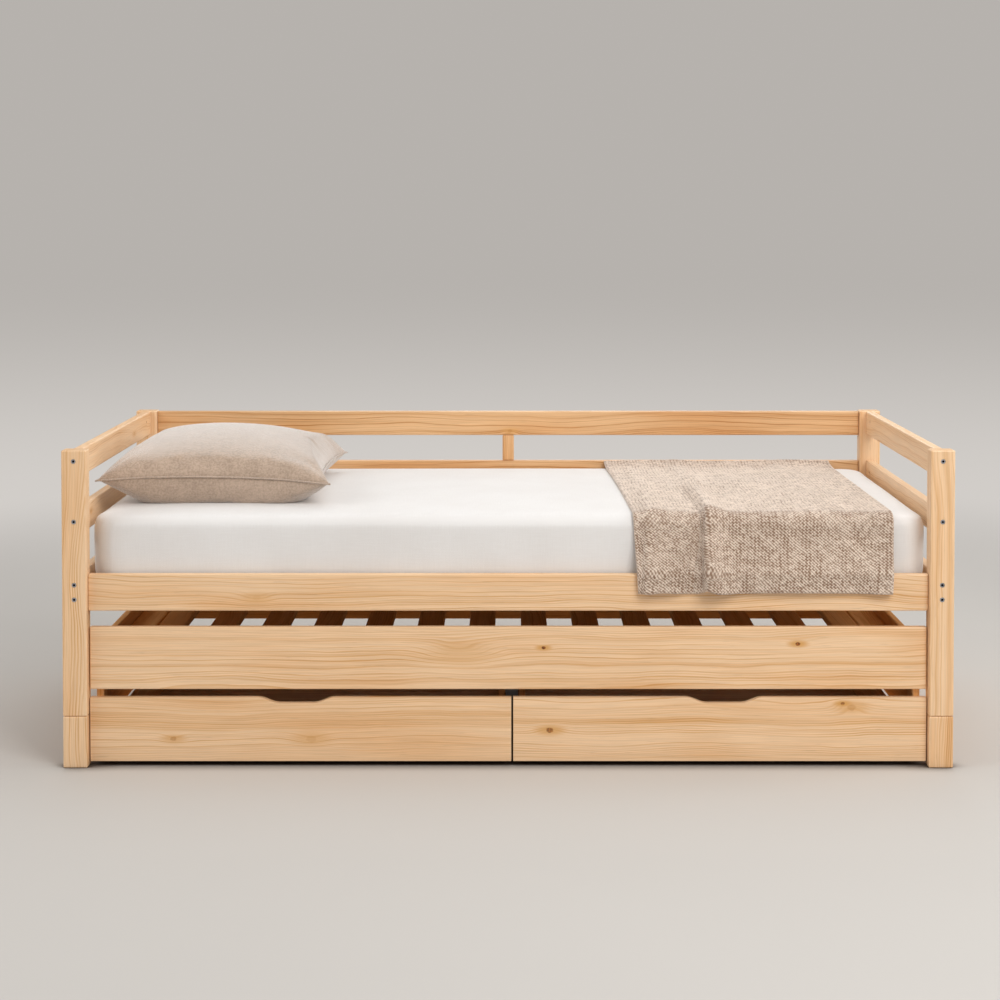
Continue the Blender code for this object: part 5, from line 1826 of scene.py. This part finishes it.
@dataclass
class Woodwork:
    """The boards that the part brings along: posts, rails, slats, panels and drawer boards."""

    shown: Pine = Pine()
    # Back guard rails: pine with more heartwood, and darker as painted shade that holds back the light the
    # mattress bounces onto them.
    back: Pine = Pine(pale=(0.78, 0.485, 0.25), line=(0.52, 0.24, 0.07), lines=1.0, heart=1.0)
    # Inner boards: unlacquered pine, darker and more orange than the shown pine, as painted shade for the
    # warm light bounced about under the bed.
    inner: Pine = Pine(pale=(0.88, 0.515, 0.225), line=(0.68, 0.33, 0.105), lines=0.7, specular=0.0, coat=0.0)
    seed_start: float = 0.2
    seed_step: float = 0.73
    slat_pitch: float = 0.13262
    bed_slat_pitch: float = (2.0 - 0.0714) / 13
    knots: tuple[tuple[str, tuple[Knot, ...]], ...] = (
        ("trundle_front", (Knot(0.0848, 0.0247, 0.0030, 1.2), Knot(0.694, 0.0343, 0.0038, 1.2),
                           Knot(-0.112, 0.0103, 0.0125, 0.0))),
        ("drawer_left_front", (Knot(-0.3053, -0.0224, 0.0048, 0.45), Knot(0.0251, -0.0236, 0.0075, 0.2))),
        ("drawer_right_front", (Knot(-0.4069, -0.0021, 0.0056, 0.85), Knot(0.2947, 0.0626, 0.0032, 1.2),
                                Knot(0.3160, 0.0530, 0.0066, 0.35))),
        ("front_bed_rail", (Knot(-0.6013, -0.012, 0.0060, 0.12),)),
        ("back_guard_rail_upper", (Knot(0.005, -0.022, 0.0042, 0.4),)),
        ("end_rail_upper_left", (Knot(0.21, -0.004, 0.0045, 0.3),)),
        ("end_rail_middle_left", (Knot(-0.35, 0.008, 0.0040, 0.5),)),
        ("end_rail_middle_right", (Knot(-0.13, -0.020, 0.0028, 1.0), Knot(0.02, -0.018, 0.0026, 1.0))),
    )

    def dress(self, effects: Effects) -> int:
        """Give each board its own piece of pine.

        Args:
            effects: The shared groups.

        Returns:
            How many boards there are.
        """
        spots = dict(self.knots)
        slots = {row["node"]: row["material_slot"] for row in frame["record"]["subparts"]}
        boards = [name for name in sorted(frame["nodes"]) if slots[name] in {grade.value for grade in Timber}]
        pitches = {"trundle_slat_base": self.slat_pitch, "bed_slat_base": self.bed_slat_pitch}
        for count, name in enumerate(boards):
            # Inner-grade boards, the slats and the trundle sides take the inner pine, whose colour holds
            # painted shade.
            finish = self.shown if slots[name] == Timber.SHOWN.value else self.inner
            # The back guard rails take the back pine, darkened as painted shade.
            if name.startswith("back_guard"):
                finish = self.back
            elif name in pitches or name.startswith("trundle_side"):
                finish = self.inner
            finish.dress(frame["nodes"][name], effects, self.seed_step * count + self.seed_start,
                         spots.get(name, ()), pitches.get(name, 0.0))
        return len(boards)


@dataclass
class Fittings:
    """Castor wheels, axle pins and drawer bottoms."""

    steel: Steel = Steel()
    plastic: Plastic = Plastic()
    plywood: Plywood = Plywood()

    def dress(self, effects: Effects) -> int:
        """Give each fitting its finish.

        Args:
            effects: The shared groups.

        Returns:
            How many fittings there are.
        """
        finishes = {"zinc_steel": self.steel.material(effects),
                    "wheel_plastic": self.plastic.material(effects)}
        count = 0
        for row in frame["record"]["subparts"]:
            node = frame["nodes"][row["node"]]
            if row["material_slot"] in finishes:
                wear(node, finishes[row["material_slot"]])
            elif row["material_slot"] == "plywood":
                self.plywood.dress(node, effects)
            else:
                continue
            count += 1
        return count


HEXAGON = 6
Drops = tuple[tuple[str, tuple[float, ...]], ...]


@dataclass
class Bolts:
    """Socket-head bolts through the posts and the barrel nuts that they pull on."""

    head_radius: float = 0.00575
    head_height: float = 0.005
    head_sink: float = 0.0005
    shank_radius: float = 0.003
    socket_radius: float = 0.0029
    socket_depth: float = 0.0042
    nut_radius: float = 0.0049
    nut_length: float = 0.013
    nut_sink: float = 0.0015
    nut_from_post: float = 0.055
    rail_half: float = 0.011
    post_middle_x: float = 1.034
    post_outer_x: float = 1.063
    face_y: float = 0.4925
    post_width: float = 0.058
    post_depth: float = 0.045
    sides: int = 24
    chamfer: float = 0.0006
    socket_rim: float = 0.0004
    socket_tip: float = 0.0006
    corner_reach: float = 1.12
    slot_depth: float = 0.0008
    slot_share: float = 0.3
    slot_mouth: float = 0.32
    nut_chamfer: float = 0.0005
    end_drops: Drops = (
        ("upper", (0.0253,)), ("middle", (0.0298,)), ("lower", (0.023, 0.058)))
    front_drops: Drops = (("front_bed_rail", (0.0115, 0.0405)),)
    back_drops: Drops = (
        ("back_bed_rail", (0.0115, 0.0405)), ("back_guard_rail_upper", (0.0455,)),
        ("back_guard_rail_lower", (0.0485,)))
    steel: Steel = Steel(colour=(0.46, 0.47, 0.51), roughness=0.34)
    # Near-black steel that paints the shade inside each hexagon socket.
    socket_shade: Steel = Steel(colour=(0.035, 0.035, 0.038), roughness=0.6)

    def places(self) -> dict[str, list[tuple[Vector, Vector, Vector, float]]]:
        """Find where the bolts go, each rail's by how far they lie below its top.

        Returns:
            For each post, each bolt's head, shank way, nut way and the post's thickness there.
        """
        found: dict[str, list[tuple[Vector, Vector, Vector, float]]] = {}
        for side, sign in (("left", -1), ("right", 1)):
            inwards = Vector((-sign, 0, 0))
            for end, way, rails in (("front", -1, self.front_drops), ("back", 1, self.back_drops)):
                rows = found.setdefault(f"{end}_{side}", [])
                for level, drops in self.end_drops:
                    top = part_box(f"end_rail_{level}_{side}")[1].z
                    for drop in drops:
                        at = Vector((sign * self.post_middle_x, way * self.face_y, top - drop))
                        rows.append((at, Vector((0, -way, 0)), inwards, self.post_depth))
                for rail, drops in rails:
                    low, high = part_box(rail)
                    for drop in drops:
                        at = Vector((sign * self.post_outer_x, (low.y + high.y) / 2, high.z - drop))
                        rows.append((at, inwards, Vector((0, 1, 0)), self.post_width))
        return found

    def build(self, effects: Effects) -> int:
        """Build the bolts and nuts of each post.

        Args:
            effects: The shared groups.

        Returns:
            How many bolts there are.
        """
        materials = [self.steel.material(effects, "bolt_steel"), self.socket_shade.material(effects, "bolt_socket_shade")]
        count = 0
        for post, rows in self.places().items():
            bolts, nuts = bmesh.new(), bmesh.new()
            for at, way, nut_way, thickness in rows:
                self.add_bolt(bolts, at, way, thickness)
                centre = at + way * (thickness + self.nut_from_post)
                self.add_nut(nuts, centre + nut_way * (self.rail_half - self.nut_sink), nut_way)
                count += 1
            for name, shape in ((f"bolts_{post}", bolts), (f"barrel_nuts_{post}", nuts)):
                thing = shape_piece(name, shape)
                thing.data.shade_smooth()
                thing.data.set_sharp_from_angle(angle=math.radians(35))
                # Bolts take the steel and the painted socket shade; nuts take the steel only.
                for material in materials[:2 if name.startswith("bolts") else 1]:
                    thing.data.materials.append(material)
                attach(thing, "bed_frame")
        return count

    def add_bolt(self, shape: bmesh.types.BMesh, at: Vector, way: Vector, thickness: float) -> None:
        """Add one bolt: a chamfered round head with a hexagon socket lined with painted shade, and its shank.

        Args:
            shape: The mesh that takes it.
            at: Middle of the counterbore's mouth.
            way: The way the shank runs.
            thickness: How thick the post is there.
        """
        inner = self.head_sink + self.head_height
        tip = thickness + self.nut_from_post + self.nut_radius
        socket = self.head_sink + self.socket_depth
        hexagon = self.socket_radius * self.corner_reach
        rows = [(0.0, socket + self.socket_tip, HEXAGON), (hexagon, socket, HEXAGON),
                (hexagon, self.head_sink, HEXAGON), (hexagon + self.socket_rim, self.head_sink, HEXAGON),
                (self.head_radius - self.chamfer, self.head_sink, self.sides),
                (self.head_radius, self.head_sink + self.chamfer, self.sides),
                (self.head_radius, inner, self.sides), (self.shank_radius, inner, self.sides),
                (self.shank_radius, tip, self.sides), (0.0, tip, self.sides)]
        self.turn(shape, rows, at, way, socket_rows=2)

    def add_nut(self, shape: bmesh.types.BMesh, at: Vector, way: Vector) -> None:
        """Add one barrel nut with the round hollow that stands for the slot in its end.

        Args:
            shape: The mesh that takes it.
            at: Middle of its outer end.
            way: The way that end looks.
        """
        radius = self.nut_radius
        rows = [(0.0, self.slot_depth), (radius * self.slot_share, self.slot_depth),
                (radius * self.slot_mouth, 0.0), (radius - self.nut_chamfer, 0.0),
                (radius, self.nut_chamfer), (radius, self.nut_length), (0.0, self.nut_length)]
        rows = [(*row, self.sides) for row in rows]
        self.turn(shape, rows, at, -way)

    def turn(self, shape: bmesh.types.BMesh, rows: Sequence[tuple[float, float, int]], at: Vector,
             way: Vector, socket_rows: int = 0) -> None:
        """Skin rings of points round an axis; a ring of 6 corners is a hexagon.

        Args:
            shape: The mesh that takes the faces.
            rows: Radius, distance along the axis and corners of each ring.
            at: Where the axis starts.
            way: The way that it runs.
            socket_rows: How many of the first rows of faces line the socket; these take the near-black
                painted socket shade.
        """
        across = way.orthogonal().normalized()
        up = way.cross(across)
        half = math.pi / HEXAGON
        rings = []
        for radius, depth, corners in rows:
            ring = []
            for step in range(self.sides):
                angle = 2 * math.pi * step / self.sides
                local = radius
                if corners == HEXAGON:
                    local = radius * math.cos(half) / math.cos((angle + half) % (2 * half) - half)
                outwards = across * math.cos(angle) + up * math.sin(angle)
                ring.append(shape.verts.new(at + way * depth + outwards * local))
            rings.append(ring)
        for row, (lower, upper) in enumerate(zip(rings, rings[1:])):
            for i in range(self.sides):
                after = (i + 1) % self.sides
                face = shape.faces.new((lower[i], lower[after], upper[after], upper[i]))
                # Faces that line the socket take the second material, the painted socket shade.
                face.material_index = int(row < socket_rows)
        points = [vert for ring in (rings[0], rings[-1]) for vert in ring]
        bmesh.ops.remove_doubles(shape, verts=points, dist=1e-6)
        bmesh.ops.recalc_face_normals(shape, faces=shape.faces)


# Stage


def seen_rays(graph: Graph) -> bpy.types.NodeSocket:
    """Tell rays that show a thing, directly, mirrored or through glass, from rays that light it.

    Args:
        graph: The graph that takes the nodes.

    Returns:
        1 for a ray that shows it, else 0.
    """
    rays = graph.add("ShaderNodeLightPath").outputs
    mirrored = graph.math("MAXIMUM", rays["Is Glossy Ray"], rays["Is Transmission Ray"])
    return graph.math("MAXIMUM", rays["Is Camera Ray"], mirrored)


@dataclass(frozen=True)
class Lamp:
    """A square soft lamp: its name, where it hangs, its side, its power in watts and its colour."""

    name: str
    place: Triple
    size: float
    power: float
    colour: Colour = (1.0, 0.985, 0.965)

    def hang(self, target: Triple) -> None:
        """Hang the lamp so that it looks at a point.

        Args:
            target: The point.
        """
        lamp = bpy.data.lights.new(self.name, "AREA")
        lamp.size = self.size
        lamp.energy = self.power
        lamp.color = self.colour
        holder = put_in_scene(self.name, lamp)
        holder.location = self.place
        holder.rotation_euler = (Vector(target) - Vector(self.place)).to_track_quat("-Z", "Y").to_euler()


@dataclass
class Studio:
    """Plain pale floor, soft light and the camera."""

    camera_y: float = -5.1150
    camera_z: float = 1.31896
    pitch: float = 1.88975
    lens: float = 70.282
    shift: Pair = (-0.0082, -0.22)
    floor_colour: Colour = (0.56, 0.54, 0.515)
    # Colour of the painted contact shadow on the floor.
    painted_contact_shade: Colour = (0.08, 0.055, 0.04)
    haze: Colour = (0.64, 0.61, 0.58)
    backdrop: Colour = (0.47, 0.445, 0.42)
    sky: float = 0.37
    near: float = 1.9
    far: float = 4.6
    radius: float = 40.0
    # Reach and ramp of the ambient occlusion that paints the contact shadow.
    painted_shade_reach: float = 0.075
    painted_shade_ramp: Pair = (0.3, 0.95)
    floor_mottle: float = 1.03
    floor_roughness: float = 0.85
    floor_specular: float = 0.2
    looked_at: Triple = (0.0, 0.0, 0.4)
    lamps: tuple[Lamp, ...] = (
        Lamp("key", (1.9, -3.4, 3.4), 2.4, 117.0),
        Lamp("top", (0.0, 0.9, 3.8), 3.4, 38.0, (1.0, 0.995, 0.985)),
        Lamp("left", (-3.4, -1.6, 2.5), 2.0, 43.0, (1.0, 0.985, 0.97)),
        Lamp("right", (3.6, -0.4, 2.3), 2.0, 39.0, (1.0, 0.985, 0.97)),
        Lamp("back", (0.3, 3.4, 2.2), 2.4, 28.0),
    )

    def build(self) -> None:
        """Set up the floor, the world, the lamps and the camera."""
        self.add_floor()
        self.add_world()
        for lamp in self.lamps:
            lamp.hang(self.looked_at)
        camera = bpy.data.cameras.new("camera")
        camera.lens = self.lens
        camera.shift_x, camera.shift_y = self.shift
        holder = put_in_scene("camera", camera)
        holder.location = (0.0, self.camera_y, self.camera_z)
        holder.rotation_euler = (math.radians(90 - self.pitch), 0.0, 0.0)
        bpy.context.scene.camera = holder
        bpy.context.scene.view_settings.view_transform = "Standard"

    def add_floor(self) -> None:
        """Lay a wide round floor, whose colour holds painted shade where the bed stands close over it."""
        shape = bmesh.new()
        bmesh.ops.create_circle(shape, cap_ends=True, segments=96, radius=self.radius)
        floor = shape_piece("studio_floor", shape)
        material, graph, shader = new_material("studio_floor")
        place = graph.place()
        tone = graph.noise(place, 1.3, 3)
        pale = tuple(min(1.0, part * self.floor_mottle) for part in self.floor_colour)
        # Painted shade: ambient occlusion darkens the floor's colour under and beside the bed.
        occlusion = graph.add("ShaderNodeAmbientOcclusion", {"Distance": self.painted_shade_reach}, samples=8)
        plain = graph.mix(tone, self.floor_colour, pale)
        open_share = graph.ramp(occlusion.outputs["AO"], *self.painted_shade_ramp)
        graph.feed_all(shader, {"Base Color": graph.mix(open_share, self.painted_contact_shade, plain),
                                "Roughness": self.floor_roughness, "Specular IOR Level": self.floor_specular})
        away = graph.ramp(graph.vector("LENGTH", place), self.near, self.far)
        nearness = graph.math("DIVIDE", 1.0, graph.plus(graph.vector("LENGTH", place), self.far))
        depth = graph.ramp(nearness, 1 / (2 * self.far), 1 / (self.radius + self.far))
        glow = graph.add("ShaderNodeEmission", {"Color": graph.mix(depth, self.haze, self.backdrop)})
        share = graph.times(away, seen_rays(graph))
        mix = graph.add("ShaderNodeMixShader", {0: share, 1: shader.outputs[0], 2: glow.outputs[0]})
        graph.feed(material.node_tree.nodes["Material Output"].inputs["Surface"], mix.outputs[0])
        wear(floor, material)

    def add_world(self) -> None:
        """Light everything evenly and show the camera a pale background."""
        world = bpy.data.worlds.new("studio")
        world.use_nodes = True
        bpy.context.scene.world = world
        tree = world.node_tree
        graph = Graph(tree)
        light = tree.nodes["Background"]
        light.inputs["Color"].default_value = (1.0, 0.985, 0.965, 1.0)
        light.inputs["Strength"].default_value = self.sky
        shown = graph.add("ShaderNodeBackground", {"Color": opaque(self.backdrop), "Strength": 1.0})
        sides = {0: seen_rays(graph), 1: light.outputs[0], 2: shown.outputs[0]}
        mix = graph.add("ShaderNodeMixShader", sides)
        graph.feed(tree.nodes["World Output"].inputs["Surface"], mix.outputs[0])


def main() -> None:
    """Dress the daybed piece by piece."""
    logging.basicConfig(level=logging.INFO, format="%(message)s")
    effects = Effects()
    LOG.info("boards: %d", Woodwork().dress(effects))
    LOG.info("fittings: %d", Fittings().dress(effects))
    LOG.info("bolts: %d", Bolts().build(effects))
    mattress = Mattress()
    for piece in (mattress.build(effects), Pillow(mattress).build(effects), Throw(mattress).build(effects)):
        LOG.info("%s: %d faces", piece.name, len(piece.data.polygons))
    Studio().build()


if __name__ == "__main__":
    main()
